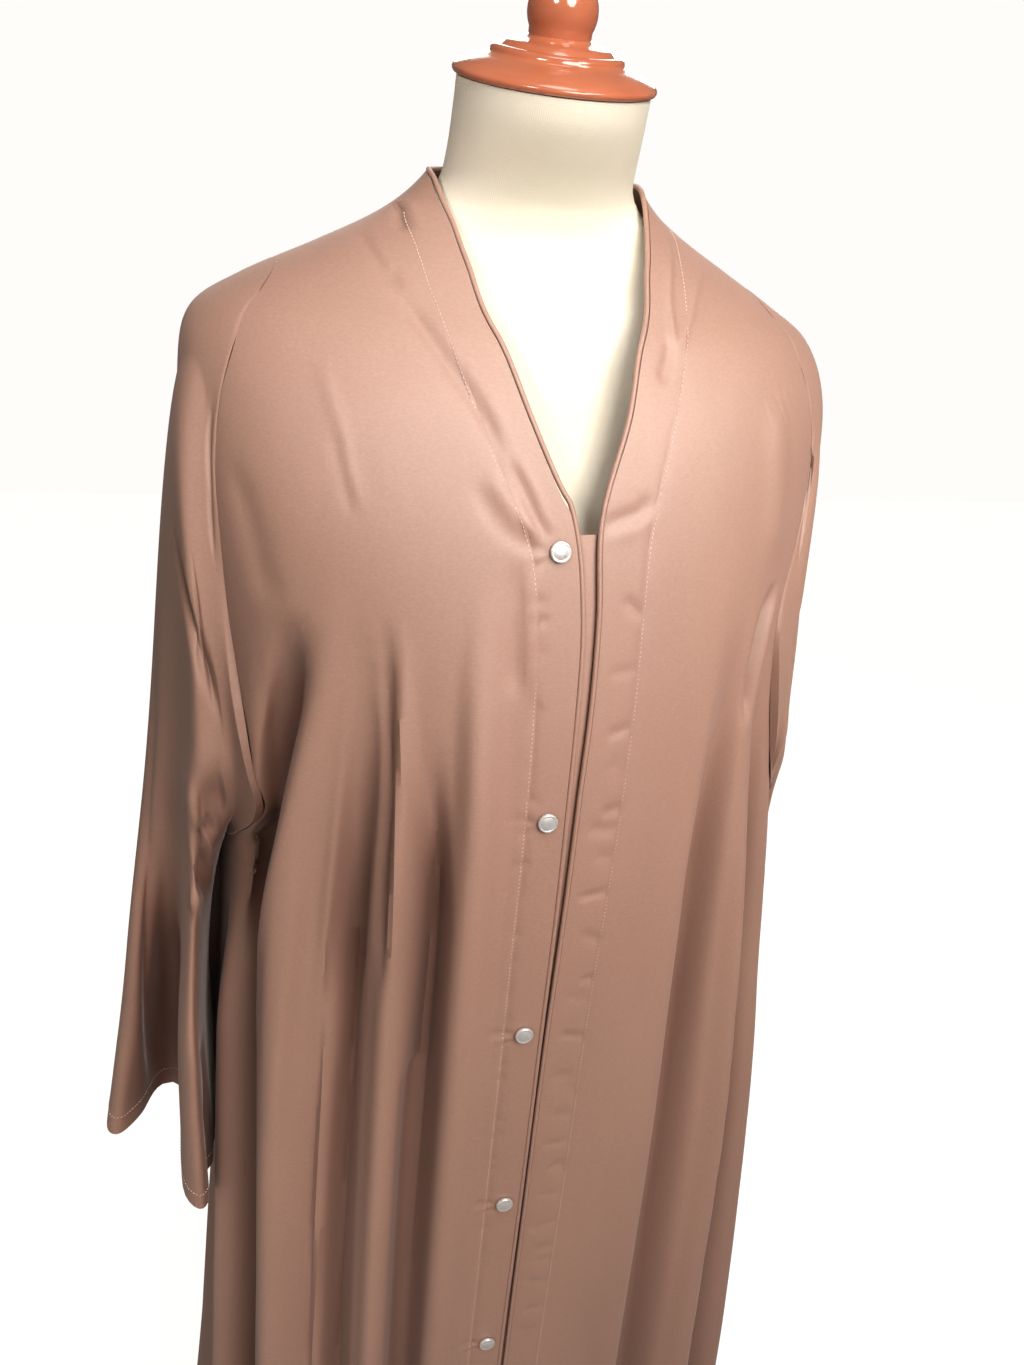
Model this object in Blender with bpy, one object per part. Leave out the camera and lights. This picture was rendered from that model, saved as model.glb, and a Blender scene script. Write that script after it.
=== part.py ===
"""A full-length abaya of satin cloth, worn on a limbless dress form with a turned cap and a round stand.

Metres, +Z up. The origin is the middle of the stand's underside. The garment faces -Y, so the wearer's
right is -X. Every cloth piece is a wall cut from one body surface or from a sleeve surface. The body
surface is addressed by an angle round the body (0 at the centre front, -90 at the wearer's right side,
180 at the centre back) and by a level, which is a real-valued row number in the SECTIONS table.
"""

import math

import bpy
import numpy as np
from mathutils import Matrix, Vector

MM = 0.001

# ---------------------------------------------------------------- driving dimensions
CLOTH = 1.6 * MM  # wall of the body and sleeve cloth
BAND_CLOTH = 2.0 * MM  # the front and neck bands are folded double
SEAM_GAP = 0.4 * MM  # between any two pieces
PIPING_RADIUS = 1.4 * MM
HEM_HEIGHT = 0.080
NECK_SEAM_HEIGHT = 1.4670  # where the neck band joins the back
UNDERLAP_TOP = 1.3090
UNDERLAP_HALF_WIDTH = 0.021
SNAP_TOP_HEIGHT = 1.3000
SNAP_SPACING = 0.1625
SNAP_COUNT = 6
SNAP_RADIUS = 6.2 * MM
SNAP_INSET = 0.0140  # from the right front's edge

# ---------------------------------------------------------------- body surface
# One row for each horizontal section of the worn cloth, hem to neck. Half widths are at the sides.
SECTION_COLUMNS = (
    "height", "half_right", "half_left", "front", "back", "square_right", "square_left", "square_back",
)
SECTIONS = (
    (0.080, 0.282, 0.328, 0.214, 0.250, 2.20, 2.15, 2.15),
    (0.280, 0.254, 0.300, 0.208, 0.222, 2.25, 2.15, 2.20),
    (0.480, 0.236, 0.280, 0.203, 0.194, 2.30, 2.20, 2.20),
    (0.660, 0.224, 0.260, 0.199, 0.172, 2.35, 2.20, 2.20),
    (0.820, 0.214, 0.238, 0.195, 0.153, 2.40, 2.25, 2.20),
    (0.960, 0.206, 0.216, 0.190, 0.139, 2.40, 2.25, 2.25),
    (1.070, 0.201, 0.206, 0.184, 0.129, 2.40, 2.25, 2.30),
    (1.160, 0.203, 0.204, 0.174, 0.123, 2.45, 2.20, 2.35),
    (1.240, 0.208, 0.206, 0.160, 0.121, 2.55, 2.20, 2.40),
    (1.310, 0.211, 0.206, 0.143, 0.118, 2.60, 2.20, 2.40),
    (1.365, 0.211, 0.204, 0.123, 0.112, 2.40, 2.15, 2.25),
    (1.400, 0.203, 0.190, 0.103, 0.104, 2.15, 2.05, 2.10),
    (1.420, 0.176, 0.162, 0.087, 0.097, 2.00, 2.00, 2.00),
    (1.440, 0.133, 0.126, 0.070, 0.088, 2.00, 2.00, 2.00),
    (1.456, 0.100, 0.097, 0.056, 0.078, 2.00, 2.00, 2.00),
    (1.470, 0.079, 0.077, 0.046, 0.069, 2.00, 2.00, 2.00),
    (1.486, 0.0640, 0.0640, 0.040, 0.061, 2.00, 2.00, 2.00),
    (1.500, 0.0600, 0.0600, 0.038, 0.058, 2.00, 2.00, 2.00),
)

# Hanging folds. Angles in degrees, depth outward in metres (negative is a trough) at full_height,
# half widths in degrees on the side towards smaller and larger angles, gain at the hem.
# Columns: start_height, full_height, angle_top, angle_low, depth, before, after, hem_gain.
FOLDS = (
    # wearer's right front
    (1.290, 1.120, -18.0, -15.5, 0.010, 5.5, 7.5, 1.3),
    (1.200, 1.060, -24.5, -22.0, -0.020, 4.5, 4.5, 1.3),
    (1.260, 1.080, -31.0, -29.0, 0.010, 4.5, 4.5, 1.5),
    (1.255, 0.990, -37.5, -38.0, -0.021, 4.0, 5.5, 1.3),
    (1.290, 1.020, -44.0, -50.0, 0.020, 7.5, 7.0, 1.2),
    (1.268, 1.000, -51.5, -59.5, -0.019, 5.0, 5.0, 1.3),
    (1.060, 0.900, -67.5, -67.5, 0.014, 6.5, 5.5, 1.3),
    # wearer's left front
    (0.900, 0.300, 22.0, 22.0, -0.006, 8.0, 8.0, 1.6),
    (1.275, 1.060, 42.5, 38.5, -0.022, 9.0, 5.5, 1.3),
    (1.220, 0.950, 47.0, 48.5, 0.012, 5.5, 5.0, 1.4),
    (1.250, 0.950, 50.5, 58.0, -0.022, 5.0, 5.0, 1.2),
    (1.250, 0.950, 57.0, 66.0, 0.015, 6.0, 8.0, 1.2),
    # sides and back
    (0.980, 0.500, -77.0, -76.0, -0.010, 7.0, 7.0, 1.8),
    (0.900, 0.450, -91.0, -90.0, 0.008, 8.0, 8.0, 2.0),
    (1.120, 0.600, -106.0, -105.0, -0.014, 8.0, 8.0, 1.5),
    (1.180, 0.600, -120.0, -121.0, 0.015, 8.0, 8.0, 1.6),
    (1.150, 0.600, -135.0, -136.0, -0.015, 7.5, 8.0, 1.5),
    (1.200, 0.600, -149.0, -151.0, 0.014, 8.0, 7.5, 1.6),
    (1.160, 0.600, -165.0, -166.0, -0.014, 8.0, 8.0, 1.5),
    (1.180, 0.600, 179.0, 179.0, 0.012, 8.0, 8.0, 1.7),
    (1.140, 0.600, 163.0, 164.0, -0.015, 8.0, 8.0, 1.5),
    (1.200, 0.600, 147.0, 149.0, 0.015, 8.5, 8.0, 1.5),
    (1.150, 0.600, 131.0, 132.0, -0.014, 8.0, 8.0, 1.6),
    (1.180, 0.600, 116.0, 117.0, 0.014, 8.0, 8.0, 1.6),
    (1.100, 0.600, 102.0, 102.0, -0.013, 7.5, 7.5, 1.6),
    (0.900, 0.450, 89.0, 89.0, 0.008, 7.5, 7.5, 2.0),
    (0.980, 0.500, 77.0, 77.5, -0.010, 6.5, 6.5, 1.8),
)

# Outer line of the front opening and of the V neck (x of the wearer's right and left front), neck to hem.
OPENING_COLUMNS = ("height", "right", "left")
OPENING = (
    (1.485, -0.0640, 0.0640),
    (1.465, -0.0572, 0.0605),
    (1.440, -0.0488, 0.0535),
    (1.410, -0.0375, 0.0450),
    (1.380, -0.0245, 0.0365),
    (1.350, -0.0105, 0.0275),
    (1.325, 0.0015, 0.0200),
    (1.308, 0.0080, 0.0170),
    (1.270, 0.0118, 0.0185),
    (1.220, 0.0120, 0.0175),
    (1.140, 0.0096, 0.0128),
    (0.970, 0.0062, 0.0070),
    (0.800, 0.0042, 0.0050),
    (0.640, 0.0020, 0.0040),
    (0.080, 0.0010, 0.0024),
)
# Line where each front band is sewn to its front (x), neck to hem.
BAND_SEAM_COLUMNS = ("height", "right", "left")
BAND_SEAM = (
    (1.467, -0.0820, 0.0820),
    (1.434, -0.0735, 0.0790),
    (1.397, -0.0610, 0.0710),
    (1.354, -0.0440, 0.0600),
    (1.320, -0.0290, 0.0520),
    (1.294, -0.0180, 0.0480),
    (1.270, -0.0155, 0.0470),
    (1.220, -0.0150, 0.0460),
    (1.145, -0.0165, 0.0425),
    (1.036, -0.0195, 0.0370),
    (0.960, -0.0205, 0.0350),
    (0.790, -0.0225, 0.0335),
    (0.640, -0.0240, 0.0320),
    (0.080, -0.0250, 0.0310),
)
# Armhole seam: distance from the middle (x), shoulder to underarm, for the wearer's right and left fronts
# and for the back on the right and on the left.
ARMHOLE_COLUMNS = ("height", "right", "left", "back_right", "back_left")
ARMHOLE = (
    (1.4300, 0.1540, 0.1430, 0.1490, 0.1400),
    (1.4050, 0.1725, 0.1600, 0.1640, 0.1560),
    (1.3800, 0.1835, 0.1710, 0.1730, 0.1680),
    (1.3500, 0.1900, 0.1785, 0.1790, 0.1760),
    (1.3200, 0.1920, 0.1785, 0.1810, 0.1800),
    (1.2800, 0.1905, 0.1700, 0.1810, 0.1810),
    (1.2450, 0.1885, 0.1600, 0.1805, 0.1805),
    (1.2150, 0.1855, 0.1600, 0.1800, 0.1800),
    (1.1550, 0.1785, 0.1690, 0.1800, 0.1800),
    (1.1100, 0.1760, 0.1780, 0.1830, 0.1830),
    (1.0820, 0.1800, 0.1860, 0.1880, 0.1880),
)

# Rows of the panels' grids, shoulder seam to hem: heights at the armhole or side seam, at the front band
# seam, at the front band's edge, and at the middle of the back. The last column is the share of the way
# round the underarm curve, 0 before it and 1 at the side seam.
# Columns: outer, seam, edge, back_middle, underarm.
ROWS = (
    (1.4300, 1.4670, 1.4850, 1.467, 0.0),
    (1.4265, 1.4622, 1.4802, 1.467, 0.0),
    (1.416, 1.448, 1.466, 1.467, 0.0),
    (1.394, 1.424, 1.443, 1.467, 0.0),
    (1.362, 1.392, 1.411, 1.467, 0.0),
    (1.325, 1.352, 1.370, 1.467, 0.0),
    (1.285, 1.308, 1.318, 1.467, 0.0),
    (1.240, 1.258, 1.260, 1.412, 0.0),
    (1.192, 1.204, 1.205, 1.340, 0.0),
    (1.145, 1.152, 1.152, 1.262, 0.0),
    (1.105, 1.108, 1.108, 1.186, 0.0),
    (1.076, 1.076, 1.076, 1.122, 0.25),
    (1.058, 1.052, 1.052, 1.075, 0.60),
    (1.050, 1.030, 1.030, 1.042, 1.0),
    (0.990, 0.985, 0.985, 0.990, 1.0),
    (0.925, 0.922, 0.922, 0.926, 1.0),
    (0.850, 0.850, 0.850, 0.850, 1.0),
    (0.765, 0.765, 0.765, 0.765, 1.0),
    (0.670, 0.670, 0.670, 0.670, 1.0),
    (0.560, 0.560, 0.560, 0.560, 1.0),
    (0.440, 0.440, 0.440, 0.440, 1.0),
    (0.320, 0.320, 0.320, 0.320, 1.0),
    (0.200, 0.200, 0.200, 0.200, 1.0),
    (0.080, 0.080, 0.080, 0.080, 1.0),
)
UNDERARM_ROW = 13
BACK_NECK_ROW = 6  # rows up to this one end on the back neck seam


def hermite(values, position):
    """Smooth interpolation of equally numbered values (rows of an array) at a real-valued row number."""
    values = np.asarray(values, float)
    position = np.clip(position, 0, len(values) - 1)
    low = np.clip(np.floor(position).astype(int), 0, len(values) - 2)
    t = position - low
    slopes = np.gradient(values, axis=0)
    h00 = 2 * t**3 - 3 * t**2 + 1
    h10 = t**3 - 2 * t**2 + t
    h01 = -2 * t**3 + 3 * t**2
    h11 = t**3 - t**2
    return h00 * values[low] + h10 * slopes[low] + h01 * values[low + 1] + h11 * slopes[low + 1]


def column(table, columns, name):
    return np.array([row[columns.index(name)] for row in table], float)


def level_of(height, heights=None):
    """The level at which a section table has this height."""
    heights = column(SECTIONS, SECTION_COLUMNS, "height") if heights is None else heights
    low, high = 0.0, len(heights) - 1.0
    for _ in range(40):
        middle = (low + high) / 2
        if hermite(heights, middle) < height:
            low = middle
        else:
            high = middle
    return (low + high) / 2


def table_value(table, columns, name, height):
    """A smooth value from a table whose first column is a falling height."""
    heights = column(table, columns, "height")
    values = column(table, columns, name)
    position = np.interp(-height, -heights, np.arange(len(heights)))
    return float(hermite(values, position))


def ease(t):
    t = min(1.0, max(0.0, t))
    return t * t * (3 - 2 * t)


def fold_depth(angle, height):
    """How far the folds move the cloth outward at this angle (degrees) and height."""
    total = 0.0
    for start, full, top, low, depth, before, after, gain in FOLDS:
        if height >= start:
            continue
        grown = min(1.0, (start - height) / (start - full))
        centre = top + (low - top) * ease(grown)
        away = (angle - centre + 180) % 360 - 180
        width = after if away > 0 else before
        share = abs(away) / (width * (0.75 + 0.25 * grown))
        if share >= 1:
            continue
        below = max(0.0, (full - height) / (full - HEM_HEIGHT))
        total += depth * ease(grown) * (1 + (gain - 1) * below) * 0.5 * (1 + math.cos(math.pi * share))
    return total


def section(level, table=SECTIONS, columns=SECTION_COLUMNS):
    return dict(zip(columns, hermite([row[: len(columns)] for row in table], level)))


def squareness(cut, sine, cosine):
    """How square the section's corner is in the quarter that holds this direction."""
    if cosine < 0:
        return cut["square_back"]
    return cut["square_left"] if sine >= 0 else cut["square_right"]


def body_point(angle, level):
    """A point of the cloth's outer face."""
    cut = section(level)
    turn = math.radians(angle)
    sine, cosine = math.sin(turn), math.cos(turn)
    half = cut["half_left"] if sine >= 0 else cut["half_right"]
    deep = cut["front"] if cosine >= 0 else cut["back"]
    power = 2.0 / squareness(cut, sine, cosine)
    x = math.copysign(half * abs(sine) ** power, sine)
    y = -math.copysign(deep * abs(cosine) ** power, cosine)
    polar = math.degrees(math.atan2(x, -y))
    out = fold_depth(polar, cut["height"])
    if out:
        nx, ny = x / half**2, y / deep**2
        length = math.hypot(nx, ny)
        x, y = x + out * nx / length, y + out * ny / length
    return np.array((x, y, cut["height"]))


def body_reach(x, y, height):
    """Distance from the upright axis to the cloth's outer face, in the direction of a point."""
    cut = section(level_of(height))
    half = cut["half_left"] if x >= 0 else cut["half_right"]
    deep = cut["front"] if y < 0 else cut["back"]
    square = squareness(cut, x, -y)
    plain = math.hypot(x, y) / ((abs(x) / half) ** square + (abs(y) / deep) ** square) ** (1 / square)
    return plain + 1.15 * max(0.0, fold_depth(math.degrees(math.atan2(x, -y)), height))


def body_normal(angle, level):
    step_angle, step_level = 0.4, 0.02
    across = body_point(angle + step_angle, level) - body_point(angle - step_angle, level)
    top = len(SECTIONS) - 1
    up = body_point(angle, min(top, level + step_level)) - body_point(angle, max(0, level - step_level))
    normal = np.cross(across, up)
    return normal / np.linalg.norm(normal)


def angle_at(x, level, back=False):
    """The angle at which the unfolded section reaches this x."""
    cut = section(level)
    half = cut["half_left"] if x >= 0 else cut["half_right"]
    share = min(1.0, abs(x) / half)
    square = squareness(cut, x, -1 if back else 1)
    angle = math.degrees(math.asin(share ** (square / 2)))
    angle = 180 - angle if back else angle
    return math.copysign(angle, x)


def spot(x, height, back=False):
    """(angle, level) of a place given by its x and height."""
    level = level_of(height)
    return angle_at(x, level, back), level


# ---------------------------------------------------------------- mesh building
def new_object(name, vertices, faces, material, smooth_angle=40):
    mesh = bpy.data.meshes.new(name)
    mesh.from_pydata([tuple(float(c) for c in v) for v in vertices], [], faces)
    mesh.validate()
    mesh.update()
    mesh.shade_smooth()
    mesh.set_sharp_from_angle(angle=math.radians(smooth_angle))
    mesh.materials.append(material)
    made = bpy.data.objects.new(name, mesh)
    bpy.context.scene.collection.objects.link(made)
    return made


def wall(name, outer, inner, faces, material):
    """A closed wall between an outer and an inner copy of the same surface, split along the same lines."""
    count = len(outer)
    edge_use = {}
    split = []
    for a, b, c, d in faces:
        if np.linalg.norm(outer[a] - outer[c]) <= np.linalg.norm(outer[b] - outer[d]):
            split += [(a, b, c), (a, c, d)]
        else:
            split += [(a, b, d), (b, c, d)]
    faces = split
    for face in faces:
        for a, b in zip(face, face[1:] + face[:1]):
            edge_use.setdefault((min(a, b), max(a, b)), []).append((a, b))
    solid = [tuple(face) for face in faces]
    solid += [tuple(count + i for i in reversed(face)) for face in faces]
    for users in edge_use.values():
        if len(users) == 1:
            a, b = users[0]
            solid.append((b, a, count + a, count + b))
    return new_object(name, list(outer) + list(inner), solid, material)


def grid_faces(rows, columns, flip):
    faces = []
    for j in range(rows - 1):
        for i in range(columns - 1):
            a = j * columns + i
            face = [a, a + 1, a + columns + 1, a + columns]
            faces.append(face[::-1] if flip else face)
    return faces


def draw_in(points, gap=SEAM_GAP / 2, sides=("first_row", "last_row", "first_column", "last_column")):
    """Moves the named edges of a grid of points inward by the half gap of a seam."""
    moved = points.copy()

    def shift(edge, inner):
        direction = inner - edge
        return edge + gap * direction / np.linalg.norm(direction, axis=1, keepdims=True)

    if "first_row" in sides:
        moved[0] = shift(moved[0], points[1])
    if "last_row" in sides:
        moved[-1] = shift(moved[-1], points[-2])
    if "first_column" in sides:
        moved[:, 0] = shift(moved[:, 0], moved[:, 1])
    if "last_column" in sides:
        moved[:, -1] = shift(moved[:, -1], moved[:, -2])
    return moved


THINNEST_SHARE = 0.55  # a wall is not thickened at a sharp corner beyond this share


def thickened(points, normals):
    """How much farther than the wall's thickness each corner of a grid moves to keep that thickness."""
    across, down = points[:-1, 1:] - points[:-1, :-1], points[1:, :-1] - points[:-1, :-1]
    face = np.cross(across, down)
    face /= np.linalg.norm(face, axis=2, keepdims=True)
    rows, columns = points.shape[:2]
    total, number = np.zeros((rows, columns)), np.zeros((rows, columns))
    for dj in (0, 1):
        for di in (0, 1):
            for j in range(face.shape[0]):
                for i in range(face.shape[1]):
                    at = (j + dj, i + di)
                    total[at] += abs(face[j, i] @ normals[at])
                    number[at] += 1
    return (1 / np.clip(total / number, THINNEST_SHARE, 1))[:, :, None]


def grid_normals(points, like):
    """Unit normals of a grid of points, on the same side as the given directions."""
    normals = np.cross(np.gradient(points, axis=1), np.gradient(points, axis=0))
    normals /= np.linalg.norm(normals, axis=2, keepdims=True)
    return normals * np.sign(np.sum(normals * like, axis=2, keepdims=True))


def surface_grid(spots, thickness, sides, sink=0.0):
    """Outer and inner points of a grid of (angle, level) places, with its seams drawn in."""
    base = np.array([[body_point(*place) for place in row] for row in spots])
    normals = np.array([[body_normal(*place) for place in row] for row in spots])
    if len(spots[0]) > 5:
        normals[1:, 1:-1] = grid_normals(base, normals)[1:, 1:-1]
        normals[1:, 1:-1] *= thickened(base, normals)[1:, 1:-1]
    outer = draw_in(base - normals * sink, sides=sides)
    inner = draw_in(base - normals * (sink + thickness), sides=sides)
    return outer, inner


# ---------------------------------------------------------------- panel grids
def outer_edge(row, side, back):
    """(angle, level) where a body panel's row ends: on the shoulder, the armhole or the side seam."""
    height, underarm = ROWS[row][0], ROWS[row][4]
    level = level_of(height)
    if row == 0:
        return side * 90.0, level
    if underarm >= 1:
        return side * 90.0, level
    name = ("back_" if back else "") + ("left" if side > 0 else "right")
    reach = table_value(ARMHOLE, ARMHOLE_COLUMNS, name, max(height, ARMHOLE[-1][0]))
    angle = abs(angle_at(side * reach, level, back))
    return side * (angle + (90 - angle) * underarm), level


def front_seam(row, side):
    height = ROWS[row][1]
    if row == 0:
        return side * 90.0, level_of(height)
    name = "left" if side > 0 else "right"
    return spot(table_value(BAND_SEAM, BAND_SEAM_COLUMNS, name, height), height)


def front_opening(row, side, inset=0.0):
    height = ROWS[row][2]
    if row == 0:
        return side * 90.0, level_of(height - 0.7 * inset)
    name = "left" if side > 0 else "right"
    x = table_value(OPENING, OPENING_COLUMNS, name, height)
    slant = 0.8 if height > 1.32 else 0.0
    return spot(x + side * inset, height - slant * inset)


def back_seam(row, side):
    height = ROWS[row][3]
    angle = 90 + 90 * min(1.0, row / BACK_NECK_ROW)
    return side * angle, level_of(height)


def fold_columns(low, high, count):
    """Angles from low to high at which a panel's columns hang: on each fold and evenly between folds."""
    centres = sorted(f[3] for f in FOLDS if min(low, high) + 4 < f[3] < max(low, high) - 3)
    anchors = [min(low, high)] + centres + [max(low, high)]
    spans = np.diff(anchors)
    parts = np.ones(len(spans), int)
    while parts.sum() < count:
        parts[np.argmax(spans / parts)] += 1
    angles = [anchors[0]]
    for start, span, number in zip(anchors, spans, parts):
        angles += [start + span * (k + 1) / number for k in range(number)]
    return angles if low < high else angles[::-1]


FRONT_COLUMNS = {-1: 24, 1: 21}
BACK_COLUMNS = 13
KNEE_ANGLE = 47.0  # columns nearer the front than this keep their angle below the V neck


def front_spots(side):
    start_low = front_seam(len(ROWS) - 1, side)[0]
    angles = fold_columns(start_low, side * 90.0, FRONT_COLUMNS[side])
    rows = []
    for row in range(len(ROWS)):
        (start, start_level), (end, end_level) = front_seam(row, side), outer_edge(row, side, False)
        knee_low = (side * KNEE_ANGLE - start_low) / (side * 90 - start_low)
        knee_here = (side * KNEE_ANGLE - start) / (end - start) if row else knee_low
        settled = ease((1.40 - ROWS[row][0]) / 0.08)
        knee = knee_low + (knee_here - knee_low) * settled
        places = []
        for angle in angles:
            share = (angle - start_low) / (side * 90.0 - start_low)
            if share < knee_low:
                here = share / knee_low * knee
            else:
                here = knee + (share - knee_low) / (1 - knee_low) * (1 - knee)
            places.append((start + (end - start) * here, start_level + (end_level - start_level) * share))
        rows.append(places)
    return rows


def back_spots(side):
    angles = fold_columns(side * 180.0, side * 90.0, BACK_COLUMNS)
    rows = []
    for row in range(len(ROWS)):
        (start, start_level), (end, end_level) = back_seam(row, side), outer_edge(row, side, True)
        places = []
        for angle in angles:
            share = (side * 180.0 - angle) / (side * 90.0)
            places.append((start + (end - start) * share, start_level + (end_level - start_level) * share))
        rows.append(places)
    return rows


def build_front(side, cloth):
    spots = front_spots(side)
    outer, inner = surface_grid(
        spots, CLOTH, ("first_row", "first_column", "last_column")
    )
    rows, columns = outer.shape[:2]
    name = "front_left" if side > 0 else "front_right"
    faces = grid_faces(rows, columns, flip=side > 0)
    return wall(name, outer.reshape(-1, 3), inner.reshape(-1, 3), faces, cloth)


def build_back(cloth):
    """Both halves of the back, welded along the centre back below the neck seam."""
    outer_points, inner_points, faces = [], [], []
    numbers = {}
    for side in (-1, 1):
        outer, inner = surface_grid(back_spots(side), CLOTH, ("first_row", "last_column"))
        rows, columns = outer.shape[:2]
        neck = [draw_in(face, gap=SEAM_GAP, sides=("first_column",)) for face in (outer, inner)]
        for j in range(BACK_NECK_ROW):
            outer[j, 0], inner[j, 0] = neck[0][j, 0], neck[1][j, 0]
        drop = outer[BACK_NECK_ROW + 1, 0] - outer[BACK_NECK_ROW, 0]
        drop *= SEAM_GAP / 2 / np.linalg.norm(drop)
        outer[BACK_NECK_ROW, 0] += drop
        inner[BACK_NECK_ROW, 0] += drop
        index = np.zeros((rows, columns), int)
        for j in range(rows):
            for i in range(columns):
                key = ("middle", j) if i == 0 and j >= BACK_NECK_ROW else (side, j, i)
                if key not in numbers:
                    numbers[key] = len(outer_points)
                    outer_points.append(outer[j, i])
                    inner_points.append(inner[j, i])
                index[j, i] = numbers[key]
        for j in range(rows - 1):
            for i in range(columns - 1):
                face = [index[j, i], index[j, i + 1], index[j + 1, i + 1], index[j + 1, i]]
                face = [int(k) for k in face]
                faces.append(face if side > 0 else face[::-1])
    return wall("back", outer_points, inner_points, faces, cloth)


# ---------------------------------------------------------------- sleeves
# One row for each loop of a sleeve, armhole to cuff: how far out from the middle plane, and how high, the
# loop is at its outer fold, its front, its underarm and its back, and the y of its front and back.
SLEEVE_COLUMNS = (
    "outer", "outer_z", "front", "front_y", "front_z", "under", "under_z", "back", "back_y", "back_z",
)
SLEEVE_RIGHT = (
    (0.155, 1.430, 0.176, -0.100, 1.250, 0.203, 1.050, 0.180, 0.088, 1.250),
    (0.184, 1.417, 0.189, -0.097, 1.240, 0.205, 1.038, 0.191, 0.088, 1.240),
    (0.206, 1.393, 0.200, -0.097, 1.218, 0.207, 1.022, 0.201, 0.090, 1.218),
    (0.2195, 1.341, 0.208, -0.099, 1.178, 0.209, 0.998, 0.209, 0.095, 1.178),
    (0.2320, 1.255, 0.214, -0.102, 1.115, 0.212, 0.966, 0.216, 0.100, 1.115),
    (0.2435, 1.145, 0.219, -0.105, 1.038, 0.216, 0.925, 0.224, 0.105, 1.038),
    (0.2600, 1.025, 0.224, -0.108, 0.953, 0.219, 0.878, 0.233, 0.110, 0.953),
    (0.2770, 0.908, 0.227, -0.109, 0.868, 0.219, 0.828, 0.242, 0.113, 0.865),
    (0.2930, 0.817, 0.228, -0.110, 0.797, 0.219, 0.778, 0.250, 0.116, 0.792),
    (0.3050, 0.752, 0.229, -0.110, 0.744, 0.218, 0.738, 0.256, 0.118, 0.736),
)
SLEEVE_LEFT = (
    (0.143, 1.430, 0.150, -0.104, 1.250, 0.205, 1.050, 0.180, 0.088, 1.250),
    (0.173, 1.413, 0.160, -0.102, 1.240, 0.208, 1.038, 0.192, 0.092, 1.240),
    (0.193, 1.383, 0.171, -0.098, 1.218, 0.211, 1.022, 0.203, 0.099, 1.218),
    (0.2055, 1.331, 0.181, -0.091, 1.178, 0.215, 0.998, 0.214, 0.108, 1.178),
    (0.2160, 1.248, 0.192, -0.080, 1.115, 0.220, 0.966, 0.224, 0.119, 1.115),
    (0.2270, 1.142, 0.205, -0.064, 1.038, 0.228, 0.925, 0.236, 0.132, 1.038),
    (0.2410, 1.022, 0.220, -0.045, 0.953, 0.237, 0.878, 0.250, 0.145, 0.953),
    (0.2570, 0.906, 0.235, -0.026, 0.868, 0.247, 0.828, 0.264, 0.157, 0.865),
    (0.2720, 0.815, 0.247, -0.010, 0.797, 0.256, 0.778, 0.276, 0.166, 0.792),
    (0.2830, 0.750, 0.256, 0.000, 0.744, 0.263, 0.738, 0.285, 0.171, 0.736),
)
# The cuff's outline seen from above. Columns: turn round the loop, distance out, y.
CUFF_RIGHT = (
    (0, 0.3050, 0.012), (25, 0.3000, -0.034), (43, 0.2780, -0.020), (60, 0.2570, 0.004),
    (75, 0.2480, -0.044), (86, 0.2425, -0.096), (97, 0.2270, -0.112), (112, 0.2190, -0.080),
    (145, 0.2165, -0.014), (180, 0.2190, 0.036), (225, 0.2320, 0.092), (262, 0.2550, 0.118),
    (300, 0.2830, 0.098), (335, 0.3005, 0.054),
)
CUFF_LEFT = (
    (0, 0.2890, 0.090), (25, 0.2860, 0.048), (50, 0.2790, 0.020), (70, 0.2720, 0.004),
    (86, 0.2650, -0.003), (100, 0.2560, -0.002), (115, 0.2520, 0.012), (145, 0.2550, 0.052),
    (180, 0.2610, 0.096), (220, 0.2690, 0.140), (255, 0.2830, 0.166), (285, 0.2960, 0.166),
    (310, 0.2990, 0.150), (335, 0.2950, 0.120),
)
# Folds of a sleeve: angle round the loop (0 outer fold, 90 front, 180 underarm) and share of the way to
# the cuff, where it starts and where it is full, depth outward at full, half width in degrees.
# Columns: start, full, angle_top, angle_low, depth, width.
SLEEVE_FOLDS_RIGHT = (
    (0.10, 0.40, 24.0, 22.0, 0.004, 20.0),
    (0.16, 0.50, 56.0, 58.0, -0.009, 22.0),
    (0.30, 0.90, 230.0, 228.0, -0.008, 28.0),
    (0.20, 0.80, 300.0, 302.0, -0.012, 30.0),
)
SLEEVE_FOLDS_LEFT = (
    (0.20, 0.60, 20.0, 20.0, 0.004, 22.0),
    (0.25, 0.80, 335.0, 335.0, 0.005, 26.0),
    (0.30, 0.90, 305.0, 305.0, -0.004, 20.0),
)
SLEEVE_ROWS = 14
SLEEVE_CLEARANCE = 0.0025  # between a hanging sleeve and the body
SLEEVE_FULLNESS = 0.0170  # least depth between the two layers of a hanging sleeve
FRONT_EDGE_TURN = 0.69  # the outer layer reaches a little farther round the sleeve's front than its back
FULL_BELOW = 1.270
EDGE_ROUNDED_FROM, EDGE_ROUNDED_TO = 60, 115  # the left sleeve's front edge is rounded between these turns
CUFF_FROM = 0.25  # share of the sleeve at which the cuff's outline begins to show
UNDERARM_FADE = {-1: 0.15, 1: 0.45}  # how much farther down it lasts at the underarm, right and left
ARMHOLE_FADE = 0.42  # share of the sleeve over which the armhole's own outline fades out


def armhole_loop(side):
    """Places round an armhole: down the front from the shoulder, then up the back to the shoulder."""
    front = [outer_edge(row, side, False) for row in range(UNDERARM_ROW + 1)]
    back = [outer_edge(row, side, True) for row in range(UNDERARM_ROW - 1, 0, -1)]
    return front + back


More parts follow.
